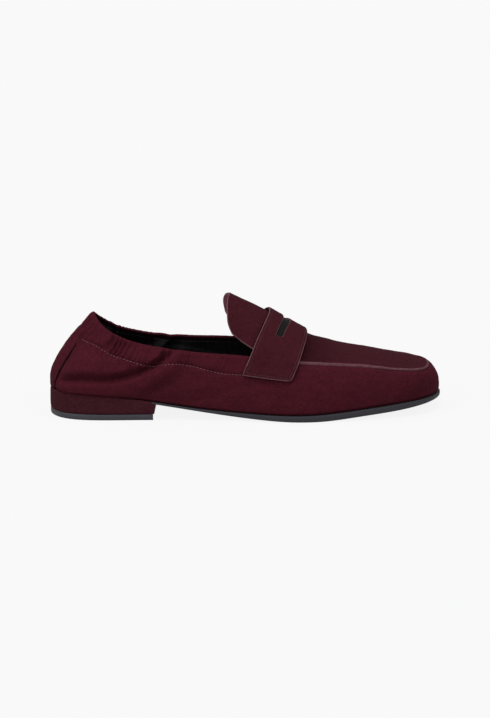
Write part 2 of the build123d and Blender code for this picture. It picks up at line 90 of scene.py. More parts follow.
ARCH_TILT = 0.03
APRON_REAR = 134.0  # where the apron's seam begins
STRAP_REAR = [(-1.0, 126.8), (-0.62, 134.6), (0.0, 145.0), (0.62, 135.4), (1.0, 127.8)]
STRAP_FRONT = [(-1.0, 157.6), (-0.92, 159.4), (-0.8, 161.8), (-0.62, 164.6), (-0.4, 167.4), (0.0, 169.8),
               (0.4, 168.0), (0.62, 165.4), (0.8, 162.6), (0.92, 160.4), (1.0, 158.6)]
STRAP_END = (0.64, 0.575)
STRAP_LIFT = (0.3, 0.6, 1.75, 1.25, 0.8, 0.7)
SLOT_WIDTH = 4.4
SLOT_CENTRE = [(-24.6, 150.4), (0.0, 157.4), (24.6, 151.4)]
TONGUE_TIP = [(-25.6, 119.6), (-23.6, 117.9), (-19.0, 116.9), (-10.0, 117.4), (0.0, 119.0), (6.0, 118.2),
              (12.0, 116.6), (18.0, 116.2), (22.4, 117.4), (24.8, 120.0), (25.6, 122.4)]
TONGUE_FRONT = [(-30.0, 133.4), (-24.0, 136.2), (-12.0, 142.6), (0.0, 146.4), (12.0, 143.0), (24.0, 137.0),
                (30.0, 134.4)]
TONGUE_HALF = (29.0, 25.6)
HEEL_BREAST = (70.0, 67.5)
SOLE_LIP, LIFT_HEIGHT = 0.8, 4.0
SUEDE, INSIDE = 1.4, 2.9  # the suede's thickness, and that of all layers of the wall


def unit(vectors):
    return vectors / np.linalg.norm(vectors, axis=-1)[..., None]


def run_along(points):
    """How far along a line each of its points is."""
    return np.concatenate([[0], np.cumsum(np.linalg.norm(np.diff(points, axis=0), axis=1))])


def bisected(low, high, too_low, rounds):
    """Where too_low stops being true between low and high, which may be numbers or arrays."""
    for _ in range(rounds):
        middle = (low + high) / 2
        below = too_low(middle)
        low, high = np.where(below, middle, low), np.where(below, high, middle)
    return high


def spline(knots, values, period=None):
    """The smooth cubic curve through values at knots, as a function; closed on itself if it has a period."""
    t, v = np.array(knots, float), np.array(values, float)
    if period:
        t, v = np.append(t, t[0] + period), np.concatenate([v, v[:1]])
    n, h = len(t), np.diff(t)
    flat = v.reshape(n, -1)
    slope = np.diff(flat, axis=0) / h[:, None]
    a, b = np.zeros((n, n)), np.zeros_like(flat)
    for i in range(1, n - 1):
        a[i, i - 1:i + 2] = h[i - 1], 2 * (h[i - 1] + h[i]), h[i]
        b[i] = 6 * (slope[i] - slope[i - 1])
    if period:
        a[0, 0], a[0, -1] = 1, -1
        a[-1, 0], a[-1, 1], a[-1, -2], a[-1, -1] = 2 * h[0], h[0], h[-1], 2 * h[-1]
        b[-1] = 6 * (slope[0] - slope[-1])
    else:
        a[0, 0] = a[-1, -1] = 1
    m = np.linalg.solve(a, b)

    def at(x):
        x = np.asarray(x, float)
        if period:
            x = t[0] + (x - t[0]) % period
        i = np.clip(np.searchsorted(t, x, side="right") - 1, 0, n - 2)
        left, right, step = (x - t[i])[..., None], (t[i + 1] - x)[..., None], h[i][..., None]
        out = (m[i] * right**3 + m[i + 1] * left**3) / (6 * step)
        out += (flat[i] / step - m[i] * step / 6) * right + (flat[i + 1] / step - m[i + 1] * step / 6) * left
        return out.reshape(x.shape + v.shape[1:])

    return at


def profile(stations):
    return spline([s[0] for s in stations], [s[1] for s in stations])


seat, tread, crest, arch_drop = profile(SEAT), profile(TREAD), profile(CREST), profile(ARCH_DROP)
strap_rear, strap_front, slot_centre = profile(STRAP_REAR), profile(STRAP_FRONT), profile(SLOT_CENTRE)
tongue_tip, tongue_front = profile(TONGUE_TIP), profile(TONGUE_FRONT)
feet = np.array([r[0] for r in RIBS] + [RIBS[0][0]])
tops = np.array([r[1][:2] for r in RIBS] + [RIBS[0][1][:2]])
steps = (np.linalg.norm(np.diff(feet, axis=0), axis=1) + np.linalg.norm(np.diff(tops, axis=0), axis=1)) / 2
places = np.concatenate([[0], np.cumsum(steps)])
KNOTS, GIRTH = places[:-1], places[-1]
foot_xy = spline(KNOTS, [r[0] for r in RIBS], GIRTH)
top_xyz = spline(KNOTS, [r[1] for r in RIBS], GIRTH)
fullness = spline(KNOTS, [r[2] + r[3] for r in RIBS], GIRTH)
TOE_RIB = 13


def rib_at(x, side):
    """The place along the wall whose top is at distance x from the heel, on side -1 (outer) or 1 (inner)."""
    low, high = (KNOTS[1], KNOTS[TOE_RIB]) if side < 0 else (KNOTS[-1], KNOTS[TOE_RIB])
    for _ in range(30):
        middle = (low + high) / 2
        low, high = (middle, high) if top_xyz(middle)[0] < x else (low, middle)
    return (low + high) / 2


def outward(u):
    """Level direction out of the shoe at place u."""
    along = foot_xy(u + 0.05) - foot_xy(u - 0.05)
    return unit(np.stack([along[..., 1], -along[..., 0]], -1))


def wall_surface(u, v):
    """Smooth outer surface of the wall at place u along it and share v of the way up."""
    foot, top, full = foot_xy(u), top_xyz(u), fullness(u)
    out = outward(u)
    p0 = np.concatenate([foot, (seat(foot[..., 0]) + 0.1)[..., None]], -1)
    p1 = p0 + np.concatenate([out * full[..., 0:1], full[..., 1:2]], -1)
    p2 = top + np.concatenate([out * full[..., 2:3], -full[..., 3:4]], -1)
    v = np.asarray(v, float)[..., None]
    return (1 - v)**3 * p0 + 3 * v * (1 - v)**2 * p1 + 3 * v**2 * (1 - v) * p2 + v**3 * top


def normals(surface, u, v, steps):
    du = surface(u + steps[0], v) - surface(u - steps[0], v)
    dv = surface(u, v + steps[1]) - surface(u, v - steps[1])
    return unit(np.cross(du, dv))


def wall_normal(u, v):
    return normals(wall_surface, u, v, (0.05, 0.001))


def arch_z(x, y):
    return crest(x) - arch_drop(x) * y**2 + ARCH_TILT * y


U_OUTER, U_INNER = rib_at(APRON_REAR, -1), rib_at(APRON_REAR, 1)
TOE_OUTER, TOE_INNER = KNOTS[11], KNOTS[15]


def apron_surface(s, t):
    """Point of the apron: s from the start of its seam to the toe, t from the outer seam to the inner."""
    s, t = np.broadcast_arrays(np.asarray(s, float), np.asarray(t, float))
    outer = top_xyz(U_OUTER + s * (TOE_OUTER - U_OUTER))
    inner = top_xyz(U_INNER + s * (TOE_INNER - U_INNER))
    front = top_xyz(TOE_OUTER + t * (TOE_INNER - TOE_OUTER))
    middle_front = top_xyz((TOE_OUTER + TOE_INNER) / 2)
    toe_outer, toe_inner = top_xyz(TOE_OUTER), top_xyz(TOE_INNER)
    s1, t1 = s[..., None], t[..., None]
    point = (1 - t1) * outer + t1 * inner + s1 * (front - (1 - t1) * toe_outer - t1 * toe_inner)
    middle = (outer + inner) / 2 + s1 * (middle_front - (toe_outer + toe_inner) / 2)
    point[..., 2] += (crest(middle[..., 0]) - middle[..., 2]) * 4 * t * (1 - t)
    return point


def apron_back(t, gap):
    """The s of the apron's back edge at each t, gap in front of the tongue."""
    def behind(s):
        p = apron_surface(s, t)
        return p[..., 0] < tongue_front(p[..., 1]) + gap

    return bisected(np.zeros_like(t), np.full_like(t, 0.5), behind, 30)


def tongue_surface(s, t):
    """Point of the tongue: s from its front edge (0) to its free end (1), t from outer (-1) to inner (1)."""
    s, t = np.broadcast_arrays(np.asarray(s, float), np.asarray(t, float))
    front, tip = t * TONGUE_HALF[0], t * TONGUE_HALF[1]
    y = front + s * (tip - front)
    x = tongue_front(front) + s * (tongue_tip(tip) - tongue_front(front))
    return np.stack([x, y, arch_z(x, y)], -1)


def strap_section(x, b):
    """Cross-section of the strap's underside at distance x from the heel."""
    end = STRAP_END[0] + b * (STRAP_END[1] - STRAP_END[0])
    sides = []
    for side in (-1, 1):
        u = rib_at(x, side)
        levels = np.array([end, (1 + end) / 2, 1.0])
        rise = wall_normal(np.full(3, u), levels)
        y = side * abs(top_xyz(u)[1]) * np.array([1.0, 0.68, 0.34, 0.0])
        arch = np.stack([np.full(4, float(x)), y, arch_z(x, y)], -1)
        slope = -2 * arch_drop(x) * y + ARCH_TILT
        up = np.stack([0 * y, -slope, np.ones(4)], -1) / np.hypot(slope, 1)[:, None]
        rise[2] = (rise[2] + up[0]) / np.linalg.norm(rise[2] + up[0])
        low = wall_surface(np.full(3, u), levels) + rise * np.array(STRAP_LIFT[:3])[:, None]
        high = arch[1:] + up[1:] * np.array(STRAP_LIFT[3:])[:, None]
        sides.append(np.concatenate([low, high]))
    line = np.concatenate([sides[0], sides[1][-2::-1]])
    length = run_along(line)
    middle = length[5]
    share = np.where(length < middle, length / middle - 1, (length - middle) / (length[-1] - middle))
    return spline(share, line)


def strap_table():
    shares, rows = np.linspace(-1, 1, 33), np.linspace(0, 1, 4)
    table = np.zeros((33, 4, 3))
    for i, a in enumerate(shares):
        for j, b in enumerate(rows):
            x = strap_rear(a) + b * (strap_front(a) - strap_rear(a))
            table[i, j] = strap_section(x, b)(a)
    return spline(shares, table)


strap_lines = strap_table()


def strap_surface(a, b):
    """Point of the strap's underside: a from outer end (-1) to inner (1), b from back edge to front."""
    a, b = np.broadcast_arrays(np.asarray(a, float), np.asarray(b, float))
    t = 3 * b
    weights = [(1 - t) * (2 - t) * (3 - t) / 6, t * (2 - t) * (3 - t) / 2, t * (t - 1) * (3 - t) / 2,
               t * (t - 1) * (t - 2) / 6]
    return (strap_lines(a) * np.stack(weights, -1)[..., None]).sum(-2)


# ---- Helpers ----
def bell(x, centre, width):
    return np.exp(-((x - centre) / width)**2)


def step(x, start, end):
    t = np.clip((np.asarray(x, float) - start) / (end - start), 0, 1)
    return t * t * (3 - 2 * t)


def waves(points, scale, seed):
    """Smooth pseudo-random field from -1 to 1, made of fixed sine waves about scale mm long."""
    rng = np.random.default_rng(seed)
    total = np.zeros(points.shape[:-1])
    for _ in range(9):
        direction = rng.normal(size=3)
        direction /= np.linalg.norm(direction)
        length = scale * rng.uniform(0.7, 1.5)
        total += np.sin(points @ direction * 2 * math.pi / length + rng.uniform(0, 6.28))
    return total / 4


def mesh_object(name, points, faces):
    """A smooth object from points in millimetres, at distances from the back of the heel."""
    mesh = bpy.data.meshes.new(name)
    in_frame = (np.asarray(points, float) + np.array([HEEL_X, 0, 0])) / 1000
    mesh.from_pydata(in_frame.tolist(), [], [tuple(int(i) for i in f) for f in faces])
    mesh.update()
    obj = bpy.data.objects.new(name, mesh)
    bpy.context.scene.collection.objects.link(obj)
    mesh.shade_smooth()
    return obj


def grid_faces(rows, columns, closed_rows=False, closed_columns=False, start=0):
    """Quads of a grid of rows by columns points, row by row."""
    i = np.arange(rows if closed_rows else rows - 1)
    j = np.arange(columns if closed_columns else columns - 1)
    i, j = np.meshgrid(i, j, indexing="ij")
    a = i * columns + j
    b = ((i + 1) % rows) * columns + j
    c = ((i + 1) % rows) * columns + (j + 1) % columns
    d = i * columns + (j + 1) % columns
    return np.stack([a, b, c, d], -1).reshape(-1, 4) + start


# ---- The upper's relief: the fold over the heel counter, the gathered casing and the soft leather ----
# Heights of its parts in mm: the suede hanging over the crease, the crease, the step below it, the hollow and
# the ridge in front of it, then the pleats of the casing and the puckers that run down from it.
HANG, VALLEY, SHELF, SHELF_RISE, HOLLOW, RIDGE, PLEAT, PUCKER = 3.6, 1.7, 1.9, 0.9, 2.3, 1.4, 1.15, 0.60
# Lines on the outer and inner quarters, as (distance from the heel, height).
CREASE = [(3, 25.0), (10, 25.6), (18, 26.0), (31, 26.0), (43, 26.2), (52.6, 28.8), (62, 32.4), (70, 36.0),
          (77, 40.6), (83, 46.5)]
CASING = [(19.4, 57.4), (19.6, 54.6), (30, 48.0), (41, 42.2), (51, 38.9), (63, 35.6), (75, 35.7), (85, 36.4),
          (98, 34.2), (111.6, 31.2), (125, 30.4), (134, 30.0)]


def both_faces(rows, columns):
    """Quads of an upper grid and, turned over, of a lower grid that follows it."""
    upper_faces = grid_faces(rows, columns)
    return np.concatenate([upper_faces, upper_faces[:, ::-1] + rows * columns])


def distance_from(x, z, line):
    """Signed distance of points from a smoothed line, positive above or behind it."""
    line = np.array(line, float)
    smooth = spline(np.arange(len(line)), line)(np.linspace(0, len(line) - 1, 90))
    best = np.full(x.shape, 1e9)
    signed = np.zeros(x.shape)
    for i in range(len(smooth) - 1):
        p, d = smooth[i], smooth[i + 1] - smooth[i]
        size = np.hypot(*d)
        t = np.clip(((x - p[0]) * d[0] + (z - p[1]) * d[1]) / size**2, 0, 1)
        dx, dz = x - p[0] - t * d[0], z - p[1] - t * d[1]
        dist = np.hypot(dx, dz)
        near = dist < best
        best = np.where(near, dist, best)
        side = np.sign(d[0] * dz - d[1] * dx)
        signed = np.where(near, dist * side, signed)
    return signed


def line_on_wall(line, side):
    """v of a line drawn in (x, z), as a function of u, on one side of the shoe."""
    us, vs = [], []
    span = (0, KNOTS[8]) if side < 0 else (KNOTS[18], GIRTH)
    uu, vv = np.meshgrid(np.linspace(*span, 260), np.linspace(0.2, 0.99, 160), indexing="ij")
    p = wall_surface(uu, vv)
    for x, z in line:
        k = np.argmin((p[..., 0] - x)**2 + (p[..., 2] - z)**2)
        us.append(uu.ravel()[k])
        vs.append(vv.ravel()[k])
    return np.array(us), np.array(vs)


casing_u, casing_v = line_on_wall(CASING[1:], -1)
far_u, far_v = line_on_wall(CASING[1:], 1)
order = np.argsort(far_u)
stations = np.concatenate([[0], casing_u, far_u[order]])
shares = np.concatenate([[0.79], casing_v, far_v[order]])
keep = np.concatenate([[True], np.diff(stations) > 1.0])
casing_line = spline(stations[keep], shares[keep], GIRTH)


def relief(u, v):
    """How far the soft upper stands out of the smooth wall, in mm, for arrays u and v of one shape."""
    u, v = np.broadcast_arrays(np.asarray(u, float), np.asarray(v, float))
    p = wall_surface(u, v)
    x, y, z = p[..., 0], p[..., 1], p[..., 2]
    wrapped = (u + GIRTH / 2) % GIRTH - GIRTH / 2
    inner = wrapped < 0
    quarter = 1 - step(x, 96, 140)
    top = top_xyz(u)
    length = np.linalg.norm(top - wall_surface(u, 0 * v), axis=-1)
    below_top = (1 - v) * length

    # the fold over the counter
    wobble = 0.7 * np.sin(x / 9.0 + 0.6) + 0.5 * np.sin(x / 4.1 + inner * 2.0)
    d = distance_from(x, z + wobble * 0.6, CREASE)
    strength = step(np.abs(wrapped), 9, 22) * (1 - step(x, 74, 94)) * np.where(inner, 0.8, 1.0)
    rising = step(x, 48, 70)
    hang = np.where(d > 0, HANG * step(d, 0.0, 5.5) * (1 - step(d, 6.5, 22.0 - 8.0 * rising)), 0.0)
    valley = np.where(d > 0, bell(d, 0, 2.4), bell(d, 0, 1.2))
    shelf = step(-d, 0.0, 4.2) * (1 - step(-d, 7.5, 17.0))
    out = strength * (hang - VALLEY * valley + (SHELF + SHELF_RISE * rising) * shelf)
    hollow = bell(x, 76, 15) * bell(d, 6.5, 5.0) * np.where(inner, 0.6, 1.0)
    out -= HOLLOW * hollow
    ridge = bell(d, -6.0, 4.6) * step(x, 54, 72) * (1 - step(x, 88, 112))
    out += RIDGE * ridge * np.where(inner, 0.6, 1.0)
    # soft creases fanning out over the counter and along the waist
    fan = np.sin((x * 0.62 + z * 0.78) / 3.3 + 0.8 * np.sin(z / 6.0))
    out += 0.20 * fan * strength * step(d, 1.0, 5.0) * (1 - step(d, 12.0, 22.0))
    waist = np.sin((x - 1.9 * z) / 4.6 + 1.1 * np.sin(x / 13.0))
    out += 0.22 * waist * step(x, 84, 98) * (1 - step(x, 126, 142)) * bell(v, 0.55, 0.3)

    # gathers between the casing's stitching and the topline, and puckers running down from it
    line = casing_line(u)
    above = (v - line) * length
    gathered = step(np.abs(wrapped), 2, 8) * (1 - step(x, 64, 94))
    phase = wrapped / 4.6 + 0.62 * np.sin(wrapped / 7.3) + 0.34 * np.sin(wrapped / 3.1 + 1.0) - above * 0.05
    pleat = np.sin(2 * math.pi * phase)
    pleat = pleat - 0.40 * np.cos(4 * math.pi * phase + 0.4) - 0.25 * np.abs(pleat)
    uneven = 0.65 + 0.35 * np.sin(wrapped / 5.7 + 1.3)
    in_band = step(above, 0.0, 2.2) * (0.30 + 0.70 * step(below_top, 0.0, 3.0))
    out += PLEAT * gathered * uneven * pleat * in_band
    slack = np.sin(2 * math.pi * (wrapped / 5.2 + 0.4 * np.sin(wrapped / 5.0) + above * 0.03))
    out += PUCKER * gathered * slack * np.exp(-(np.clip(-above, 0, None) / 4.5)**2) * (above < 0)
    far_band = step(np.abs(wrapped), 12, 24) * step(x, 60, 84) * (1 - step(x, 120, 136))
    out += 0.20 * far_band * pleat * step(above, 0.0, 3.0)
    swell = step(above, 0.2, 2.6) * step(below_top, 0.0, 3.0)
    out += 0.45 * swell * (quarter + 0.3)

    out = out * np.where(inner, 1 - 0.6 * step(v, 0.80, 0.97) * step(x, 45, 70), 1.0)

    # the stitch groove
    stitched = step(np.abs(wrapped), 9.5, 11) * (1 - step(x, 126, 131))
    out -= 0.60 * stitched * bell(above, 0.0, 0.75)

    # the soft leather itself
    soft = step(v, 0.05, 0.25) * (1 - 0.6 * step(v, 0.85, 1.0))
    out += soft * (0.34 + 0.25 * quarter) * waves(p, 30.0, 3)
    out += soft * (0.10 + 0.05 * quarter) * waves(p * np.array([1.0, 1.0, 1.6]), 11.0, 5)
    out += soft * 0.028 * waves(p, 4.2, 8)

    # tucked in where it meets the sole and the heel, and under the apron's raised edge
    out -= 1.25 * np.exp(-(v * length / 0.85)**2)
    beside_stay = np.abs(np.abs(wrapped) - 11.0)
    out -= 0.85 * np.exp(-(beside_stay / 0.80)**2) * (1 - step(above, -1.0, 1.0))
    apron_zone = step(x, 132, 137)
    out -= apron_zone * 0.55 * np.exp(-(below_top / 1.7)**2)
    return out


def soft_wall(u, v, depth):
    """Point of the wall with its relief, depth under its outer skin."""
    u, v = np.broadcast_arrays(np.asarray(u, float), np.asarray(v, float))
    return wall_surface(u, v) + wall_normal(u, v) * (relief(u, v) - depth)[..., None]


def stitches(path, normal, pitch, length, radius, name):
    """A row of threads along a path: each a short rounded ridge sunk into the leather at both ends."""
    path, normal = np.asarray(path, float), np.asarray(normal, float)
    run = run_along(path)
    verts, faces = [], []
    count = int(run[-1] / pitch)
    for i in range(count):
        at = (i + 0.5) * run[-1] / count + np.linspace(-length / 2, length / 2, 7)
        p = np.stack([np.interp(at, run, path[:, k]) for k in range(3)], -1)
        n = unit(np.stack([np.interp(at, run, normal[:, k]) for k in range(3)], -1))
        b = np.cross(unit(np.gradient(p, axis=0)), n)
        arch = np.cos(np.linspace(-1.25, 1.25, 7))
        thick = radius * (0.55 + 0.45 * arch)
        angle = np.linspace(0, 2 * math.pi, 8, endpoint=False)
        twist = 0.12 * radius * np.cos(np.linspace(0, 9, 7))[:, None]
        centre = p + n * ((arch - 0.55) * radius * 1.5)[:, None] + b * twist
        ring = centre[:, None] + (n[:, None] * np.cos(angle)[None, :, None] * 0.8
                                  + b[:, None] * np.sin(angle)[None, :, None]) * thick[:, None, None]
        start = len(verts) * 56
        verts.append(ring.reshape(-1, 3))
        faces.append(grid_faces(7, 8, False, True, start))
        faces.append(np.array([[start, start + 2, start + 4, start + 6],
                               [start + 48, start + 50, start + 52, start + 54]]))
    return mesh_object(name, np.concatenate(verts), np.concatenate(faces))


# ==== Pieces ====
def replace(obj, body, slot_name, *nodes):
    """Lets an object ride on a body and stand for CAD nodes."""
    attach(obj, body)
    if nodes:
        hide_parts(*nodes)
    return obj


def set_materials(obj, *materials, kinds=None):
    """Gives an object its materials, and with kinds the number of the material of each face."""
    obj.data.materials.clear()
    for material in materials:
        obj.data.materials.append(material)
    if kinds is not None:
        obj.data.polygons.foreach_set("material_index", np.asarray(kinds, np.int32))
        obj.data.update()


def reach_at_top(u):
    """Length in mm of a whole share v at the top of the wall."""
    return 3 * np.linalg.norm(fullness(u)[:, 2:], axis=1)


# Upper wall: outer skin, topline turned over a cord of elastic, and the suede facing inside it.
ROLL = 1.2  # radius of the turned topline
n_u, n_v = 330 * FINE, 42 * FINE
us = np.linspace(0, GIRTH, n_u, endpoint=False)
vs = np.linspace(0, 1, n_v)
top_length = reach_at_top(us)
in_apron = step(top_xyz(us)[:, 0], APRON_REAR - 1.5, APRON_REAR + 0.5)
cut = 1 - (ROLL * (1 - 0.35 * in_apron))[:, None] / top_length[:, None]
uu = np.broadcast_to(us[:, None], (n_u, n_v))
skin = soft_wall(uu, vs[None, :] * cut, 0.0)
centre = soft_wall(us[:, None], cut, ROLL)
across = wall_normal(us[:, None], cut)
rise = unit(wall_surface(us[:, None], cut + 0.01) - wall_surface(us[:, None], cut - 0.01))
turn = np.linspace(0, math.pi, 9)[None, 1:-1, None]
edge = centre + ROLL * (across * np.cos(turn) + rise * np.sin(turn))
facing_v = cut - np.linspace(0, 1, 7)[None, :] * 3.6 / top_length[:, None]
facing = soft_wall(us[:, None], facing_v, 2 * ROLL)
facing_end = soft_wall(us[:, None], facing_v[:, -1:] - 0.002, 1.5)
wall_points = np.concatenate([skin, edge, facing, facing_end], axis=1)
rows = wall_points.shape[1]
upper = mesh_object("upper_wall", wall_points.reshape(-1, 3), grid_faces(n_u, rows, True, False))
replace(upper, "shoe", "suede", "vamp_wall", "collar_facing")
upper_inside = np.tile((np.arange(rows - 1) >= n_v + 6).astype(int), n_u)

# Black lining inside the quarters and the vamp
l_u, l_v = 200 * FINE, 16 * FINE
lu = np.linspace(U_INNER - GIRTH + 0.5, U_OUTER - 0.5, l_u)
lv = np.linspace(0.045, 1, l_v)
lining_top = 1 - (ROLL + 2.6) / reach_at_top(lu)[:, None]
luu = np.broadcast_to(lu[:, None], (l_u, l_v))
outer_face = soft_wall(luu, lv[None] * lining_top, 2.25)
inner_face = soft_wall(luu, lv[None] * lining_top, 2.85)
lining_points = np.concatenate([outer_face, inner_face[:, ::-1]], axis=1)
lining = mesh_object("quarter_lining_soft", lining_points.reshape(-1, 3),
                     grid_faces(l_u, 2 * l_v, False, True))
replace(lining, "shoe", "lining_black", "quarter_lining")


def stiffener(name, span_u, span_v, count, node, slot_name):
    """A thin layer between the suede and the lining that follows the soft wall's folds."""
    u, v = np.meshgrid(np.linspace(*span_u, count[0]), np.linspace(*span_v, count[1]), indexing="ij")
    points = np.concatenate([soft_wall(u, v, 1.5), soft_wall(u, v, 2.1)[:, ::-1]], axis=1)
    obj = mesh_object(name, points.reshape(-1, 3), grid_faces(count[0], 2 * count[1], False, True))
    return replace(obj, "shoe", slot_name, node)


counter_end = KNOTS[4] + 8
counter = stiffener("heel_counter_soft", (-counter_end, counter_end), (0.06, 0.28), (90 * FINE, 12 * FINE),
                    "heel_counter", "stiffener")
elastic = stiffener("topline_elastic_soft", (-105, 105), (0.80, 0.95), (130 * FINE, 8 * FINE),
                    "topline_elastic", "elastic")

# Strip over the back seam, sunk along both its edges, with painted shade in near-black along them
SEAM_WIDTH, STAY_TOP = 0.95, 0.797  # in mm, and as a share of the way up the wall
b_u, b_v = 26 * FINE, 40 * FINE
share_u = np.sin(np.linspace(-math.pi / 2, math.pi / 2, b_u))
share_v = np.linspace(0.004, 0.795, b_v)
half_width = 10.3 + 0.7 * bell(share_v, 0.40, 0.3) - 0.6 * bell(share_v, 0.8, 0.12)
bu = share_u[:, None] * half_width[None]
bv = np.broadcast_to(share_v[None], bu.shape)
edge_gap = (1 - np.abs(share_u))[:, None] * half_width[None]
top_gap = (STAY_TOP - bv) * 60
rise_up = (1 - np.exp(-(np.minimum(edge_gap, top_gap) / 0.62)**1.3)) - 0.50
dip = 0.10 * waves(wall_surface(bu, bv), 7.0, 31)
n = wall_normal(bu, bv)
stay_top = wall_surface(bu, bv) + n * (relief(bu, bv) * 0.6 + rise_up + dip * (edge_gap > 1))[..., None]
stay_under = wall_surface(bu, bv) + n * (-0.9 - 0 * bu)[..., None]
stay_points = np.stack([stay_top, stay_under])
stay_faces = both_faces(b_u, b_v)
stay = mesh_object("backstay_strip", stay_points.reshape(-1, 3), stay_faces)
replace(stay, "shoe", "suede", "backstay")
# painted shade: the strip's top faces within SEAM_WIDTH of its edges get a near-black suede
seam_shade_faces = edge_gap[:-1, :-1] < SEAM_WIDTH
stay_seam_shade = np.concatenate([seam_shade_faces.ravel(), np.zeros(len(stay_faces) // 2, bool)])

# Apron: crowned panel, standing a little over the wall at its cut edge
APRON_SPAN, APRON_LENGTH, APRON_THICK = 62, 108, 1.3
a_s, a_t = 110 * FINE, 66 * FINE
tt = 0.5 - 0.5 * np.cos(np.linspace(0, math.pi, a_t))
tt = 0.35 * tt + 0.65 * np.linspace(0, 1, a_t)
start = apron_back(tt, 0.6)
share = np.linspace(0, 1, a_s)
share = 0.6 * share + 0.4 * (1 - (1 - share)**2)
ss = start[None] + share[:, None] * (1 - start[None])
tg = np.broadcast_to(tt[None], ss.shape)
base = apron_surface(ss, tg)
an = normals(apron_surface, np.clip(ss, 0.002, 0.998), np.clip(tg, 0.002, 0.998), (0.001, 0.001))
gap = np.minimum(np.minimum(tg, 1 - tg) * APRON_SPAN, (1 - ss) * APRON_LENGTH)
puff = 0.75 * (1 - step(gap, 0.8, 11.0)) + 0.10 - 0.30 * bell(gap, 0, 0.5) - 0.16 * bell(gap, 2.2, 1.0)
soft = step(gap, 1.0, 9.0)
puff = puff + soft * (0.30 * waves(base, 26.0, 14) + 0.09 * waves(base, 9.0, 15))
puff = puff + 0.025 * waves(base, 3.7, 16)
under_strap = 1 - step(base[..., 0], 150, 163)
puff = puff * (1 - under_strap) - 0.25 * under_strap
apron_top = base + an * puff[..., None]
apron_low = base - an * APRON_THICK
apron_points = np.stack([apron_top, apron_low])
n_a = a_s * a_t
across_s, across_t = np.arange(a_s - 1) * a_t, np.arange(a_t - 1)
rim_faces = []
for first, move in ((across_t, 1), (across_s, a_t), (across_s + a_t - 1, a_t),
                    (across_t + (a_s - 1) * a_t, 1)):
    rim_faces.append(np.stack([first, first + move, first + move + n_a, first + n_a], -1))
apron_faces = np.concatenate([both_faces(a_s, a_t)] + rim_faces)
apron_obj = mesh_object("apron_panel", apron_points.reshape(-1, 3), apron_faces)
replace(apron_obj, "shoe", "suede", "apron")

# The apron's raised raw edge: a thick cut edge that runs round the seam
w_n = 420 * FINE
wu = np.linspace(U_OUTER + 2, U_INNER - 2, w_n)
seam = top_xyz(wu)
wn = wall_normal(wu, np.full(w_n, 0.995))
up_wall = unit(wall_surface(wu, np.full(w_n, 1.0)) - wall_surface(wu, np.full(w_n, 0.98)))
vary = 0.10 * np.sin(wu / 5.3) + 0.07 * np.sin(wu / 2.3 + 1.0)
section = np.array([(-1.75, -0.35), (-1.95, 0.10), (-1.78, 0.62), (-1.30, 0.98), (-0.55, 1.16), (0.10, 1.20),
                    (0.60, 1.02), (0.85, 0.55), (0.80, -0.30)])
width_scale = 0.62 + 0.30 * step(reach_at_top(wu), 14, 24)
reach_in = section[None, :, 0] * width_scale[:, None] + vary[:, None] * 0.5
reach_out = section[None, :, 1] * (0.85 + vary[:, None])
ring = seam[:, None] + up_wall[:, None] * reach_in[..., None] + wn[:, None] * reach_out[..., None]
welt = mesh_object("apron_raw_edge", ring.reshape(-1, 3), grid_faces(w_n, len(section), False, True))
replace(welt, "shoe", "suede", "apron_welt")

# Saddle strap: one thick piece of suede with a slot, its bare cut edges left showing
STRAP_LOW, STRAP_HIGH = 1.0, 2.1  # its lower and upper face, above the surface under the strap
SLOT_END, END_ROUND = 24.6, 0.7  # half the slot's length across the shoe, and the rounding of its ends
CORNER = 2.6  # rounding of the strap's front corners
RAW_RIM = 0.40  # how far the raw colour of a cut edge comes round on to the face


def strap_normal(a, b):
    return normals(strap_surface, np.clip(a, -0.996, 0.996), np.clip(b, 0.02, 0.98), (0.002, -0.01))


def strap_face(a, b):
    return strap_surface(a, b) + strap_normal(a, b) * STRAP_HIGH


def strap_b(a, x):
    """The b at which the strap's outer face is at distance x from the heel, for arrays a and x."""
    return bisected(np.zeros_like(a), np.ones_like(a), lambda b: strap_face(a, b)[..., 0] < x, 24)


s_a, s_b = 260 * FINE, 22 * FINE
sa = np.linspace(-1, 1, s_a)
slot_line = np.full(s_a, 0.9)
for _ in range(3):
    slot_y = strap_face(sa, slot_line)[:, 1]
    slot_x = slot_centre(np.clip(slot_y, -SLOT_END, SLOT_END))
    slot_line = strap_b(sa, slot_x)
reach = SLOT_END - np.abs(slot_y)
rounded = END_ROUND - np.sqrt(np.clip(END_ROUND**2 - np.clip(END_ROUND - reach, 0, END_ROUND)**2, 0, None))
slot_half = np.where(reach > 0, SLOT_WIDTH / 2 - rounded, 0.0)
b_rear, b_front = strap_b(sa, slot_x - slot_half), strap_b(sa, slot_x + slot_half)
strap_width = np.linalg.norm(strap_surface(sa, 1.0) - strap_surface(sa, 0.0), axis=-1)
strap_run = run_along(strap_surface(sa, 0.5))
packed = 0.5 - 0.5 * np.cos(np.linspace(0, math.pi, s_b))
packed = 0.55 * packed + 0.45 * np.linspace(0, 1, s_b)


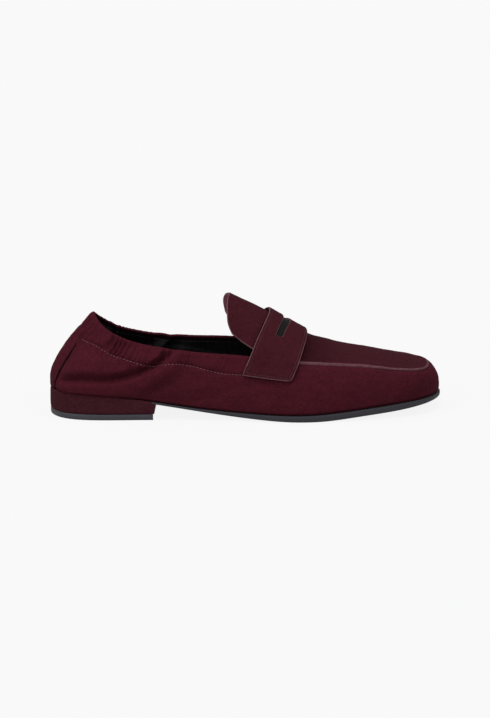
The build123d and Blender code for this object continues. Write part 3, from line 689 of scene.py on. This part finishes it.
def strap_part(b_low, b_high):
    """One side of the slot: its upper face, its lower face, and how far each point is from a raw edge."""
    b = b_low[:, None] + packed[None] * (b_high - b_low)[:, None]
    a = np.broadcast_to(sa[:, None], b.shape)
    width = np.broadcast_to(strap_width[:, None], b.shape)
    run = np.broadcast_to(strap_run[:, None], b.shape)
    end = np.minimum(run, strap_run[-1] - run)
    front = (1 - b) * width
    e, f = np.clip(1 - end / CORNER, 0, 1), np.clip(1 - front / CORNER, 0, 1)
    turned = (e > 0) & (f > 0)
    e2, f2 = e * np.sqrt(1 - f**2 / 2), f * np.sqrt(1 - e**2 / 2)
    end = np.where(turned, CORNER * (1 - e2), end)
    front = np.where(turned, CORNER * (1 - f2), front)
    a = np.where(turned, np.interp(np.where(a < 0, end, strap_run[-1] - end), strap_run, sa), a)
    b = np.where(turned, 1 - front / width, b)
    p, n = strap_surface(a, b), strap_normal(a, b)
    border = np.minimum(np.minimum(end, front), b * width)
    border = np.where(turned, CORNER * (1 - np.hypot(e2, f2)), border)
    face = p + n * STRAP_HIGH
    dx = np.abs(face[..., 0] - slot_centre(np.clip(face[..., 1], -SLOT_END, SLOT_END))) - SLOT_WIDTH / 2
    dy = np.abs(face[..., 1]) - SLOT_END
    slot = np.hypot(np.clip(dx, 0, None), np.clip(dy, 0, None))
    cut = np.minimum(border, slot)
    grain = 0.13 * waves(p, 17.0, 41) + 0.05 * waves(p, 5.0, 42)
    high = STRAP_HIGH + grain * step(cut, 0.2, 2.5) - 0.26 * np.exp(-(cut / 0.34)**2)
    high = high - 0.16 * bell(border, 1.9, 0.45) + 0.10 * bell(border, 3.8, 1.4) + 0.08 * bell(cut, 0.9, 0.45)
    return p + n * high[..., None], p + n * STRAP_LOW, np.minimum(border, slot + 0.22)


def side_wall(top_line, low_line, out, bulge):
    """Points of a cut edge from its upper line to its lower one, slightly rounded outwards."""
    share = np.linspace(0, 1, 5)[None, :, None]
    line = top_line[:, None] * (1 - share) + low_line[:, None] * share
    return line + out[:, None] * (np.sin(share * math.pi) * bulge)


def face_mean(values):
    return (values[:-1, :-1] + values[1:, :-1] + values[1:, 1:] + values[:-1, 1:]).ravel() / 4


class Patches:
    """Grids of points gathered into one mesh, each face with the number of its material."""

    def __init__(self):
        self.points, self.faces, self.kinds, self.count = [], [], [], 0

    def add(self, points, flip, kinds):
        quads = grid_faces(*points.shape[:2], start=self.count)
        self.points.append(points.reshape(-1, 3))
        self.faces.append(quads[:, ::-1] if flip else quads)
        self.kinds.append(np.full(len(quads), kinds) if np.isscalar(kinds) else kinds)
        self.count += points.shape[0] * points.shape[1]

    def wall(self, top, low, line, beside, flip, bulge):
        out = top[line] - top[beside]
        out /= np.linalg.norm(out, axis=1)[:, None] + 1e-9
        self.add(side_wall(top[line], low[line], out, bulge), flip, 1)

    def build(self, name):
        obj = mesh_object(name, np.concatenate(self.points), np.concatenate(self.faces))
        return obj, np.concatenate(self.kinds)


strap_patches = Patches()
rear_top, rear_low, rear_cut = strap_part(0 * sa, b_rear)
front_top, front_low, front_cut = strap_part(b_front, 0 * sa + 1)
everything = slice(None)
open_rows = np.flatnonzero(slot_half > 0)
slot_rows = slice(open_rows[0] - 1, open_rows[-1] + 2)
for top, low, cut in ((rear_top, rear_low, rear_cut), (front_top, front_low, front_cut)):
    strap_patches.add(top, False, (face_mean(cut) < RAW_RIM).astype(int))
    strap_patches.add(low, True, 0)
    strap_patches.wall(top, low, (0, everything), (1, everything), False, 0.08)
    strap_patches.wall(top, low, (-1, everything), (-2, everything), True, 0.08)
strap_patches.wall(rear_top, rear_low, (everything, 0), (everything, 1), True, 0.08)
strap_patches.wall(front_top, front_low, (everything, -1), (everything, -2), False, 0.08)
strap_patches.wall(rear_top, rear_low, (slot_rows, -1), (slot_rows, -2), False, 0.05)
strap_patches.wall(front_top, front_low, (slot_rows, 0), (slot_rows, 1), True, 0.05)
strap_obj, strap_raw = strap_patches.build("saddle_strap_suede")
replace(strap_obj, "shoe", "suede", "saddle_strap")

# Tongue: a single leather with a bare edge, its free end a little flared
g_s, g_t = 64 * FINE, 96 * FINE
edge_s = 1 - (1 - np.linspace(0, 1, g_s))**1.25
edge_t = 0.3 * (0.5 - 0.5 * np.cos(np.linspace(0, math.pi, g_t))) + 0.7 * np.linspace(0, 1, g_t)
gs, gt = np.meshgrid(edge_s, edge_t * 2 - 1, indexing="ij")
tongue_mid = tongue_surface(gs, gt)
tongue_n = normals(tongue_surface, np.clip(gs, 0.01, 0.99), np.clip(gt, -0.99, 0.99), (-0.001, 0.001))
tip_gap = (1 - gs) * 30
side_gap = (1 - np.abs(gt)) * 26
cut = np.minimum(tip_gap, side_gap)
curl = 0.15 * step(gs, 0.55, 1.0)**2 + 0.3 * step(gs, 0.7, 1.0) * step(gt, -0.2, 0.9)
wavy = step(gs, 0.1, 0.5) * (0.32 * waves(tongue_mid, 24.0, 51) + 0.08 * waves(tongue_mid, 7.0, 52))
tongue_up = -0.05 + curl + wavy - 0.22 * np.exp(-(cut / 0.40)**2) + 0.10 * bell(cut, 1.0, 0.5)
tongue_down = -1.85 + curl + wavy + 0.20 * np.exp(-(cut / 0.40)**2)
tongue_top = tongue_mid + tongue_n * tongue_up[..., None]
tongue_low = tongue_mid + tongue_n * tongue_down[..., None]
tongue_patches = Patches()
tongue_patches.add(tongue_top, False, (face_mean(cut) < 0.6 * RAW_RIM).astype(int))
tongue_patches.add(tongue_low, True, 2)
tongue_patches.wall(tongue_top, tongue_low, (-1, everything), (-2, everything), False, 0.12)
tongue_patches.wall(tongue_top, tongue_low, (everything, 0), (everything, 1), False, 0.12)
tongue_patches.wall(tongue_top, tongue_low, (everything, -1), (everything, -2), True, 0.12)
tongue_obj, tongue_raw = tongue_patches.build("tongue_suede")
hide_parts("tongue", "tongue_lining")


def weld(obj, caps=()):
    """Adds faces over rings of points, joins the points that meet, and turns all faces outwards."""
    mesh = bmesh.new()
    mesh.from_mesh(obj.data)
    mesh.verts.ensure_lookup_table()
    for ring in caps:
        mesh.faces.new([mesh.verts[i] for i in ring])
    bmesh.ops.remove_doubles(mesh, verts=mesh.verts[:], dist=2e-6)
    bmesh.ops.recalc_face_normals(mesh, faces=mesh.faces[:])
    mesh.to_mesh(obj.data)
    mesh.free()
    obj.data.shade_smooth()


# Bottom: sole, heel and the parts lying on them, each drawn between the outer and inner outline
TIP = KNOTS[TOE_RIB]
INSOLE = 2.2
BOTTOM = 0.1 * 2 + SUEDE + INSOLE  # from the seat to the top of the insole, with its two films of glue


def foot_u(x, side):
    """The place along the outline at distance x from the heel, on side -1 (outer) or 1 (inner)."""
    low, high = (0.0, TIP) if side < 0 else (GIRTH, TIP)
    for _ in range(40):
        middle = (low + high) / 2
        low, high = (middle, high) if foot_xy(middle)[0] < x else (low, middle)
    return (low + high) / 2


def outline_at(u, inset_by):
    return foot_xy(u) - outward(u) * np.asarray(inset_by)[..., None]


def bottom_body(name, start, end, rows, low, high, crown=0.0, count=120):
    """A closed body on the outline between two distances from the heel.

    rows are the cross-section's points at its side, from the top down, as (inset, share up, offset in mm);
    start is None for a body that closes round the heel, and end is None for one that closes round the toe.
    """
    n = count * FINE
    t = np.linspace(0, 1, n)
    if start is None or end is None:
        t = 0.45 * (0.5 - 0.5 * np.cos(math.pi * t)) + 0.55 * t
    first = (0.0, GIRTH) if start is None else (foot_u(start, -1), foot_u(start, 1))
    last = (TIP, TIP) if end is None else (foot_u(end, -1), foot_u(end, 1))
    outer_u = first[0] + t * (last[0] - first[0])
    inner_u = first[1] + t * (last[1] - first[1])
    across = np.linspace(0, 1, 14 * FINE)[1:-1]

    def height(x, share, offset):
        return low(x) + share * (high(x) - low(x)) + offset

    def at(u, row):
        xy = outline_at(u, np.full(u.shape, row[0]))
        return np.concatenate([xy, height(xy[:, 0], row[1], row[2])[:, None]], -1)

    outer = [at(outer_u, row) for row in rows]
    inner = [at(inner_u, row) for row in rows]
    loops = list(outer)
    for share in across:
        p = outer[-1] * (1 - share) + inner[-1] * share
        p[:, 2] = height(p[:, 0], rows[-1][1], rows[-1][2])
        loops.append(p)
    loops += inner[::-1]
    for share in across:
        p = inner[0] * (1 - share) + outer[0] * share
        p[:, 2] = height(p[:, 0], rows[0][1], rows[0][2]) + crown * 4 * share * (1 - share)
        loops.append(p)
    points = np.stack(loops, axis=1)
    faces = grid_faces(n, points.shape[1], False, True)
    obj = mesh_object(name, points.reshape(-1, 3), faces)
    loop = points.shape[1]
    caps = [range(loop)[::-1]] if start is not None else []
    if end is not None:
        caps.append(range((n - 1) * loop, n * loop))
    weld(obj, caps)
    return obj


def raised(height):
    return lambda x: seat(x) + height


def level(height):
    return lambda x: 0 * np.asarray(x, float) + height


def sock_under(x):
    share = np.clip((74.0 - np.asarray(x, float)) / 14, 0, 1)
    return seat(x) + BOTTOM + 0.3 + 2.0 * share**2 * (3 - 2 * share)


sole_rows = [(2.6, 1, 0.0), (-0.25, 1, -0.02), (-0.60, 1, -0.14), (-SOLE_LIP, 1, -0.42),
             (-SOLE_LIP - 0.08, 0.5, 0), (-SOLE_LIP, 0, 0.50), (-0.66, 0, 0.20), (-0.35, 0, 0.05),
             (0.3, 0, 0.0), (2.2, 0, 0.0)]
sole = bottom_body("outsole_rubber", 66.8, None, sole_rows, tread, raised(0), count=190)
replace(sole, "shoe", "rubber_black", "outsole")

lift_rows = [(1.2, 1, 0.0), (-0.20, 1, -0.02), (-0.46, 1, -0.22), (-0.52, 0.5, 0), (-0.46, 0, 0.42),
             (-0.18, 0, 0.12), (0.4, 0, 0.0), (2.0, 0, 0.0)]
top_piece = bottom_body("heel_top_piece", None, 67.6, lift_rows, level(0), level(LIFT_HEIGHT - 0.05),
                        count=70)
replace(top_piece, "shoe", "rubber_black", "heel_top_lift")

pad_rows = [(INSIDE + 5.0, 1, -0.12), (INSIDE + 3.7, 0.72, 0), (INSIDE + 3.4, 0.4, 0),
            (INSIDE + 3.7, 0, 0.12), (INSIDE + 5.0, 0, 0.0)]
pad = bottom_body("heel_pad_foam", None, 66.0, pad_rows, raised(BOTTOM + 0.1), lambda x: sock_under(x) - 0.15,
                  count=60)
replace(pad, "shoe", "foam", "heel_cushion")

sock_rows = [(INSIDE + 1.6, 1, 0.0), (INSIDE + 0.75, 1, -0.06), (INSIDE + 0.6, 0.5, 0),
             (INSIDE + 0.75, 0, 0.08), (INSIDE + 2.4, 0, 0.0)]
sock = bottom_body("sock_leather", None, None, sock_rows, sock_under, lambda x: sock_under(x) + 1.0,
                   crown=0.12, count=150)
replace(sock, "shoe", "sock", "sock_liner")

# Suede wrapped round the heel, its top edge tucked under the upper and its bottom one on the top piece


def breast_x(z):
    top = float(seat(np.array(HEEL_BREAST[0])))
    return HEEL_BREAST[1] + (HEEL_BREAST[0] - HEEL_BREAST[1]) * z / top - 0.35


wrap_n = 150 * FINE
wrap_rows = [(1.0, -0.05), (0.55, -0.01), (-0.18, 0.0), (-0.55, 0.035), (-0.68, 0.10)]
wrap_rows += [(-0.66 - 0.05 * math.sin(s * math.pi), s) for s in np.linspace(0.18, 0.86, 9)]
wrap_rows += [(-0.60, 0.93), (-0.35, 0.975), (0.15, 1.0), (0.95, 1.0)]
wrap_grid = []
for inset_by, share in wrap_rows:
    z_mid = LIFT_HEIGHT + 0.2 + np.clip(share, 0, 1) * 9.0
    x_end = breast_x(z_mid)
    u0, u1 = foot_u(x_end, 1) - GIRTH, foot_u(x_end, -1)
    u = np.linspace(u0, u1, wrap_n)
    xy = outline_at(u, np.full(wrap_n, inset_by))
    low, high = LIFT_HEIGHT + 0.12, seat(xy[:, 0]) - 0.05
    z = low + np.clip(share, 0, 1) * (high - low)
    p = np.concatenate([xy, z[:, None]], -1)
    on_face = float(0.1 < share < 0.95)
    n = np.concatenate([outward(u), 0 * u[:, None]], -1)
    p = p + n * (on_face * (0.07 * waves(p, 12.0, 61) + 0.03 * waves(p, 4.0, 62)))[:, None]
    wrap_grid.append(p)
wrap_points = np.stack(wrap_grid, axis=1)
wrap = mesh_object("heel_wrap_suede", wrap_points.reshape(-1, 3), grid_faces(wrap_n, len(wrap_rows)))
replace(wrap, "shoe", "suede", "heel_cover")


# ---- Stitching ----
casing_threads = []
for side, name in ((-1, "casing_stitches_outer"), (1, "casing_stitches_inner")):
    end = foot_u(127.5, side) - (GIRTH if side > 0 else 0)
    u = np.linspace(-side * 10.9, end, 420)
    v = casing_line(u)
    thread_row = stitches(soft_wall(u, v, -0.10), wall_normal(u, v), 2.35, 1.65, 0.27, name)
    casing_threads.append(replace(thread_row, "shoe", "suede"))

THREAD_INSET = 1.9  # from the strap's edges to the rows of stitches along them


def strap_thread(a, b, name):
    n = strap_normal(a, b)
    thread_row = stitches(strap_surface(a, b) + n * (STRAP_HIGH - 0.12), n, 2.0, 1.5, 0.15, name)
    return replace(thread_row, "shoe", "suede")


a = np.linspace(-0.972, 0.972, 500)
b = THREAD_INSET / np.linalg.norm(strap_surface(a, 1.0) - strap_surface(a, 0.0), axis=-1)
strap_threads = [strap_thread(a, 1 - b, "strap_stitches_front"), strap_thread(a, b, "strap_stitches_rear")]
a = np.full(200, np.interp(THREAD_INSET, strap_run, sa))
b = np.linspace(0.075, 0.925, 200)
strap_threads += [strap_thread(a, b, "strap_stitches_outer"), strap_thread(-a, b, "strap_stitches_inner")]

# Strap and tongue get three materials: plain suede, its cut edge and its underside, whose colour carries
# painted light
for obj, kinds in ((strap_obj, strap_raw), (tongue_obj, tongue_raw)):
    for _ in range(3):
        obj.data.materials.append(None)
    obj.data.polygons.foreach_set("material_index", np.asarray(kinds, np.int32))
    weld(obj)
    obj.data.set_sharp_from_angle(angle=math.radians(48))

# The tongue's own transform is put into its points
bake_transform(tongue_obj)


# ==== Materials ====
class Nodes:
    """A material's nodes, made one after another."""

    def __init__(self, name):
        self.material = bpy.data.materials.new(name)
        self.material.use_nodes = True
        self.tree = self.material.node_tree
        self.shader = self.tree.nodes["Principled BSDF"]
        self.place = self.add("ShaderNodeTexCoord").outputs["Object"]

    def add(self, kind, **settings):
        node = self.tree.nodes.new(kind)
        for key, value in settings.items():
            setattr(node, key, value)
        return node

    def link(self, start, end):
        self.tree.links.new(start, end)

    def mapped(self, scale):
        node = self.add("ShaderNodeMapping")
        node.inputs["Scale"].default_value = scale
        self.link(self.place, node.inputs["Vector"])
        return node.outputs[0]

    def noise(self, mm, detail=3.0, rough=0.55, stretch=(1, 1, 1), distort=0.0):
        node = self.add("ShaderNodeTexNoise")
        node.inputs["Scale"].default_value = 1000.0 / mm
        node.inputs["Detail"].default_value = detail
        node.inputs["Roughness"].default_value = rough
        node.inputs["Distortion"].default_value = distort
        self.link(self.mapped(stretch), node.inputs["Vector"])
        return node.outputs["Fac"]

    def cells(self, mm, stretch=(1, 1, 1)):
        node = self.add("ShaderNodeTexVoronoi")
        node.inputs["Scale"].default_value = 1000.0 / mm
        self.link(self.mapped(stretch), node.inputs["Vector"])
        return node.outputs["Distance"]

    def ramp(self, source, stops):
        node = self.add("ShaderNodeValToRGB")
        ramp = node.color_ramp
        while len(ramp.elements) < len(stops):
            ramp.elements.new(0.5)
        for element, (position, value) in zip(ramp.elements, stops):
            element.position = position
            colour = (value,) * 3 if isinstance(value, (int, float)) else value
            element.color = (*colour, 1)
        self.link(source, node.inputs["Fac"])
        return node.outputs["Color"]

    def mix(self, share, a, b):
        node = self.add("ShaderNodeMix", data_type="RGBA")
        for socket, value in (("Factor", share), ("A", a), ("B", b)):
            target = [i for i in node.inputs if i.name == socket and i.enabled][0]
            if hasattr(value, "is_output"):
                self.link(value, target)
            else:
                target.default_value = (*value, 1) if isinstance(value, tuple) else value
        return [o for o in node.outputs if o.enabled][0]

    def blend(self, source, half, low, high):
        """From one colour to another as source passes 0.5, over half to each side of it."""
        return self.mix(self.ramp(source, [(0.5 - half, 0.0), (0.5 + half, 1.0)]), low, high)

    def bump(self, source, strength, mm, normal=None):
        node = self.add("ShaderNodeBump")
        node.inputs["Strength"].default_value = strength
        node.inputs["Distance"].default_value = mm / 1000.0
        self.link(source, node.inputs["Height"])
        if normal:
            self.link(normal, node.inputs["Normal"])
        return node.outputs["Normal"]

    def finish(self, colour, rough, normal=None, **settings):
        self.link(colour, self.shader.inputs["Base Color"])
        if hasattr(rough, "is_output"):
            self.link(rough, self.shader.inputs["Roughness"])
        else:
            self.shader.inputs["Roughness"].default_value = rough
        if normal:
            self.link(normal, self.shader.inputs["Normal"])
        for key, value in settings.items():
            self.shader.inputs[key.replace("_", " ")].default_value = value
        return self.material


def scaled(colour, factor):
    return tuple(c * factor for c in colour)


def suede(name, colour, spread=0.22, nap=0.5, brushing_and_painted_shade=None):
    """Brushed suede: fibres, strokes of the nap lying two ways, and mottled patches.

    brushing_and_painted_shade is (x from, x to, share): painted shade, dark by that share at the first x, in
    metres, and not by the second.
    """
    m = Nodes(name)
    strokes = m.noise(9.0, 5.0, 0.62, (1.0, 1.6, 1.5), 0.8)
    patches = m.noise(3.4, 4.0, 0.66, (1.0, 1.5, 1.4), 0.5)
    mottle = m.noise(1.5, 4.0, 0.68, (1.0, 1.2, 1.3), 0.3)
    fibres = m.noise(0.55, 4.0, 0.65, (1.0, 1.3, 1.7))
    base = m.blend(strokes, 0.14, scaled(colour, 1 - 1.35 * spread), scaled(colour, 1 + 1.35 * spread))
    for source, half, dark, dark_by, light, light_by in ((patches, 0.14, 0.42, 0.45, 0.34, 1.6),
                                                         (mottle, 0.16, 0.48, 0.38, 0.46, 1.6),
                                                         (fibres, 0.20, 0.34, 0.40, 0.26, 2.0)):
        base = m.blend(source, half, m.mix(dark, base, scaled(colour, dark_by)),
                       m.mix(light, base, scaled(colour, light_by)))
    # painted shade: the colour is darker towards the first x and no darker past the second
    if brushing_and_painted_shade:
        split = m.add("ShaderNodeSeparateXYZ")
        m.link(m.place, split.inputs[0])
        zone = m.add("ShaderNodeMapRange", interpolation_type="SMOOTHSTEP")
        for socket, value in zip(("From Min", "From Max", "To Min", "To Max"), (*brushing_and_painted_shade, 0.0)):
            zone.inputs[socket].default_value = value
        m.link(split.outputs["X"], zone.inputs["Value"])
        base = m.mix(zone.outputs["Result"], base, scaled(colour, 0.30))
    rough = m.ramp(strokes, [(0.3, 0.88), (0.7, 0.99)])
    normal = m.bump(mottle, nap * 0.75, 0.34)
    normal = m.bump(fibres, nap, 0.16, normal)
    return m.finish(base, rough, normal, Sheen_Weight=0.02, Sheen_Roughness=0.5,
                    Sheen_Tint=(0.75, 0.28, 0.36, 1), Specular_IOR_Level=0.01)


def leather(name, colour, mm=1.1, rough=0.55, strength=0.35, spread=0.14, specular=0.35):
    m = Nodes(name)
    grain = m.cells(mm, (1, 1.2, 1.1))
    pores = m.noise(0.5, 3.0, 0.6)
    tone = m.noise(14.0, 4.0, 0.55)
    base = m.blend(tone, 0.15, scaled(colour, 1 - spread), scaled(colour, 1 + spread))
    base = m.mix(m.ramp(grain, [(0.0, 0.0), (0.55, 1.0)]), scaled(colour, 0.75), base)
    sheen = m.ramp(tone, [(0.3, rough - 0.08), (0.7, rough + 0.10)])
    normal = m.bump(grain, strength, 0.10)
    normal = m.bump(pores, strength * 0.4, 0.05, normal)
    return m.finish(base, sheen, normal, Specular_IOR_Level=specular)


def rubber(name, colour, mm=0.6):
    m = Nodes(name)
    fine = m.noise(mm, 4.0, 0.6)
    dust = m.noise(11.0, 5.0, 0.65)
    scuff = m.noise(2.6, 5.0, 0.7, (0.5, 1.0, 2.4))
    base = m.mix(m.ramp(dust, [(0.40, 0.0), (0.72, 1.0)]), colour, scaled(colour, 1.35))
    base = m.mix(m.ramp(scuff, [(0.58, 0.0), (0.74, 0.45)]), base, scaled(colour, 1.8))
    normal = m.bump(fine, 0.30, 0.07)
    normal = m.bump(scuff, 0.12, 0.09, normal)
    return m.finish(base, m.ramp(dust, [(0.3, 0.55), (0.7, 0.78)]), normal, Specular_IOR_Level=0.38)


def fibre(name, colour, mm, stretch=(1, 1, 1), rough=0.85, contrast=0.3, strength=0.3):
    m = Nodes(name)
    strands = m.noise(mm, 5.0, 0.7, stretch, 0.4)
    tone = m.noise(16.0, 3.0)
    base = m.blend(strands, 0.2, scaled(colour, 1 - contrast), scaled(colour, 1 + contrast))
    base = m.mix(m.ramp(tone, [(0.4, 0.0), (0.7, 0.35)]), base, scaled(colour, 0.8))
    return m.finish(base, rough, m.bump(strands, strength, 0.12), Specular_IOR_Level=0.2)


def cork(name):
    m = Nodes(name)
    grains = m.cells(1.7)
    pits = m.noise(0.9, 4.0, 0.7)
    base = m.mix(m.ramp(grains, [(0.1, 0.0), (0.6, 1.0)]), (0.22, 0.11, 0.045), (0.42, 0.25, 0.12))
    base = m.mix(m.ramp(pits, [(0.60, 0.0), (0.72, 0.8)]), base, (0.06, 0.03, 0.015))
    return m.finish(base, 0.9, m.bump(grains, 0.4, 0.2), Specular_IOR_Level=0.15)


def steel(name, colour, rough):
    m = Nodes(name)
    brushing_and_painted_shade = m.noise(0.7, 4.0, 0.6, (0.15, 1, 1))
    spots = m.noise(7.0, 4.0, 0.6)
    base = m.mix(m.ramp(spots, [(0.4, 0.0), (0.7, 0.6)]), colour, scaled(colour, 0.55))
    shine = m.ramp(brushing_and_painted_shade, [(0.3, rough - 0.08), (0.7, rough + 0.12)])
    return m.finish(base, shine, m.bump(brushing_and_painted_shade, 0.12, 0.03), Metallic=1.0)


def webbing(name, colour):
    m = Nodes(name)
    wave = m.add("ShaderNodeTexWave", bands_direction="Z")
    wave.inputs["Scale"].default_value = 330.0
    wave.inputs["Distortion"].default_value = 1.2
    wave.inputs["Detail"].default_value = 2.0
    m.link(m.place, wave.inputs["Vector"])
    base = m.mix(wave.outputs["Fac"], scaled(colour, 0.5), scaled(colour, 1.4))
    return m.finish(base, 0.85, m.bump(wave.outputs["Fac"], 0.4, 0.15), Specular_IOR_Level=0.2)


def thread(name, colour):
    m = Nodes(name)
    twist = m.add("ShaderNodeTexWave", bands_direction="DIAGONAL")
    twist.inputs["Scale"].default_value = 1500.0
    twist.inputs["Distortion"].default_value = 0.8
    m.link(m.place, twist.inputs["Vector"])
    base = m.mix(twist.outputs["Fac"], scaled(colour, 0.65), scaled(colour, 1.25))
    base = m.mix(m.ramp(m.noise(6.0, 3.0), [(0.4, 0.0), (0.7, 0.5)]), base, scaled(colour, 0.7))
    return m.finish(base, 0.62, m.bump(twist.outputs["Fac"], 0.5, 0.06), Specular_IOR_Level=0.3)


suede_wall = suede("suede_wall", (0.052, 0.0080, 0.0132))
# painted shade on the apron just in front of the strap, from 162 to 196 mm from the back of the heel
suede_apron = suede("suede_apron", (0.0375, 0.0078, 0.0112), 0.20, 0.5, (0.032, 0.066, 0.55))
suede_strap = suede("suede_strap", (0.0430, 0.0086, 0.0125), 0.16)
suede_heel = suede("suede_heel", (0.044, 0.0110, 0.0150), 0.15, 0.4)
# painted light: the flesh side is paler, and its colour is made lighter still to offset the shade it lies in
underside_painted_light = suede("underside_suede_painted_light", (0.300, 0.105, 0.135), 0.12)
raw_edge = suede("suede_raw_edge", (0.135, 0.066, 0.074), 0.22, 0.7)
welt_edge = suede("apron_raw_edge", (0.098, 0.042, 0.050), 0.25, 0.7)
facing_suede = suede("collar_facing_suede", (0.0085, 0.0034, 0.0045), 0.2)
# painted shade for the sunk seam along the back strip's edges
seam_painted_shade = suede("seam_edge_painted_shade", (0.0075, 0.0028, 0.0036), 0.2)
lining_black = leather("lining_black_leather", (0.0036, 0.0026, 0.0034), 1.0, 0.75, 0.3, 0.1, 0.15)
sock_material = leather("sock_black_leather", (0.0048, 0.0040, 0.0046), 1.2, 0.62, 0.3, 0.12, 0.22)
sole_rubber = rubber("sole_rubber_matt", (0.0135, 0.0122, 0.0165))
lift_rubber = rubber("top_piece_rubber", (0.028, 0.0275, 0.034), 0.5)
heel_paint = leather("heel_breast_black", (0.0060, 0.0055, 0.0060), 2.4, 0.45, 0.15)
thread_casing = thread("thread_casing", (0.135, 0.050, 0.064))
thread_strap = thread("thread_strap", (0.062, 0.0190, 0.0250))
fibreboard = fibre("insole_fibreboard", (0.30, 0.19, 0.10), 0.8)
stiffener_cloth = fibre("stiffener_cloth", (0.42, 0.38, 0.31), 0.5, (1, 3, 1), 0.9, 0.2, 0.5)
foam_material = fibre("foam_open_cell", (0.50, 0.44, 0.34), 0.45, (1, 1, 1), 0.95, 0.35, 0.6)
cork_material = cork("cork_filler")
steel_material = steel("steel_sprung", (0.42, 0.42, 0.44), 0.35)
nail_material = steel("steel_nails", (0.34, 0.33, 0.32), 0.45)
elastic_material = webbing("elastic_webbing", (0.035, 0.033, 0.036))

set_materials(upper, suede_wall, facing_suede, kinds=upper_inside)
set_materials(stay, suede_wall, seam_painted_shade, kinds=stay_seam_shade)
for obj, material in ((apron_obj, suede_apron), (welt, welt_edge), (wrap, suede_heel),
                      (lining, lining_black), (sole, sole_rubber), (top_piece, lift_rubber),
                      (sock, sock_material), (pad, foam_material), (counter, stiffener_cloth),
                      (elastic, elastic_material)):
    set_materials(obj, material)
for obj in (strap_obj, tongue_obj):
    for material_slot, material in zip(obj.material_slots, (suede_strap, raw_edge, underside_painted_light)):
        material_slot.material = material
for thread_row in casing_threads:
    set_materials(thread_row, thread_casing)
for thread_row in strap_threads:
    set_materials(thread_row, thread_strap)

# the CAD's own pieces that are kept as they are
finishes = {
    "heel_block": heel_paint, "heel_nails": nail_material, "top_lift_pins": nail_material,
    "shank": steel_material, "shank_rivets": nail_material, "bottom_filler": cork_material,
    "insole_board": fibreboard, "toe_puff": stiffener_cloth, "vamp_lining": lining_black,
    "apron_lining": lining_black, "strap_backing": lining_black,
}
for node, material in finishes.items():
    for material_slot in bpy.data.objects[node].material_slots:
        material_slot.material = material

# ==== Floor, light and camera ====
scene = bpy.context.scene
scene.view_settings.view_transform = "Standard"

floor_mesh = bpy.data.meshes.new("floor")
floor_mesh.from_pydata([(-30, -30, 0), (30, -30, 0), (30, 30, 0), (-30, 30, 0)], [], [(0, 1, 2, 3)])
floor = bpy.data.objects.new("floor", floor_mesh)
scene.collection.objects.link(floor)
floor.visible_diffuse = False
paper = Nodes("paper_floor")
fleck = paper.mix(paper.noise(60.0, 2.0), (0.060, 0.060, 0.060), (0.064, 0.064, 0.064))
set_materials(floor, paper.finish(fleck, 0.9, Specular_IOR_Level=0.0, Emission_Color=(1.0, 1.0, 1.0, 1),
                                  Emission_Strength=0.875))


def sun(name, azimuth, elevation, strength, softness):
    """A soft far light: azimuth 0 is in front of the outer side, positive towards the toe."""
    data = bpy.data.lights.new(name, "SUN")
    data.energy, data.angle = strength, math.radians(softness)
    light = bpy.data.objects.new(name, data)
    a, e = math.radians(azimuth), math.radians(elevation)
    toward = Vector((math.sin(a) * math.cos(e), -math.cos(a) * math.cos(e), math.sin(e)))
    light.rotation_euler = toward.to_track_quat("Z", "Y").to_euler()
    scene.collection.objects.link(light)


sun("overhead", -20, 74, 1.35, 30)
sun("front_left", -52, 22, 0.95, 30)
sun("toe_fill", 48, 30, 0.55, 45)

# the studio's air: brighter above than below
world = bpy.data.worlds.new("studio")
scene.world = world
world.use_nodes = True
air = world.node_tree
direction = air.nodes.new("ShaderNodeTexCoord").outputs["Generated"]
split = air.nodes.new("ShaderNodeSeparateXYZ")
air.links.new(direction, split.inputs[0])
height_map = air.nodes.new("ShaderNodeMapRange")
for socket, value in (("From Min", -0.35), ("From Max", 0.55), ("To Min", 0.34), ("To Max", 0.60)):
    height_map.inputs[socket].default_value = value
air.links.new(split.outputs["Z"], height_map.inputs["Value"])
air.links.new(height_map.outputs["Result"], air.nodes["Background"].inputs["Strength"])
air.nodes["Background"].inputs["Color"].default_value = (0.98, 0.985, 1.0, 1)

AZIMUTH, ELEVATION, DISTANCE = math.radians(-3.4), math.radians(12.0), 1.5
IMAGE_HEIGHT = 718
target = Vector((0.0, 0.0, 0.033))
back = Vector((math.sin(AZIMUTH) * math.cos(ELEVATION), -math.cos(AZIMUTH) * math.cos(ELEVATION),
               math.sin(ELEVATION)))
camera_data = bpy.data.cameras.new("camera")
camera_data.sensor_width = 36.0
camera_data.lens = 2257.5 / IMAGE_HEIGHT * camera_data.sensor_width
camera_data.shift_x, camera_data.shift_y = -0.8 / IMAGE_HEIGHT, 0.8 / IMAGE_HEIGHT
camera = bpy.data.objects.new("camera", camera_data)
camera.location = target + back * DISTANCE
camera.rotation_euler = (-back).to_track_quat("-Z", "Y").to_euler()
scene.collection.objects.link(camera)
scene.camera = camera
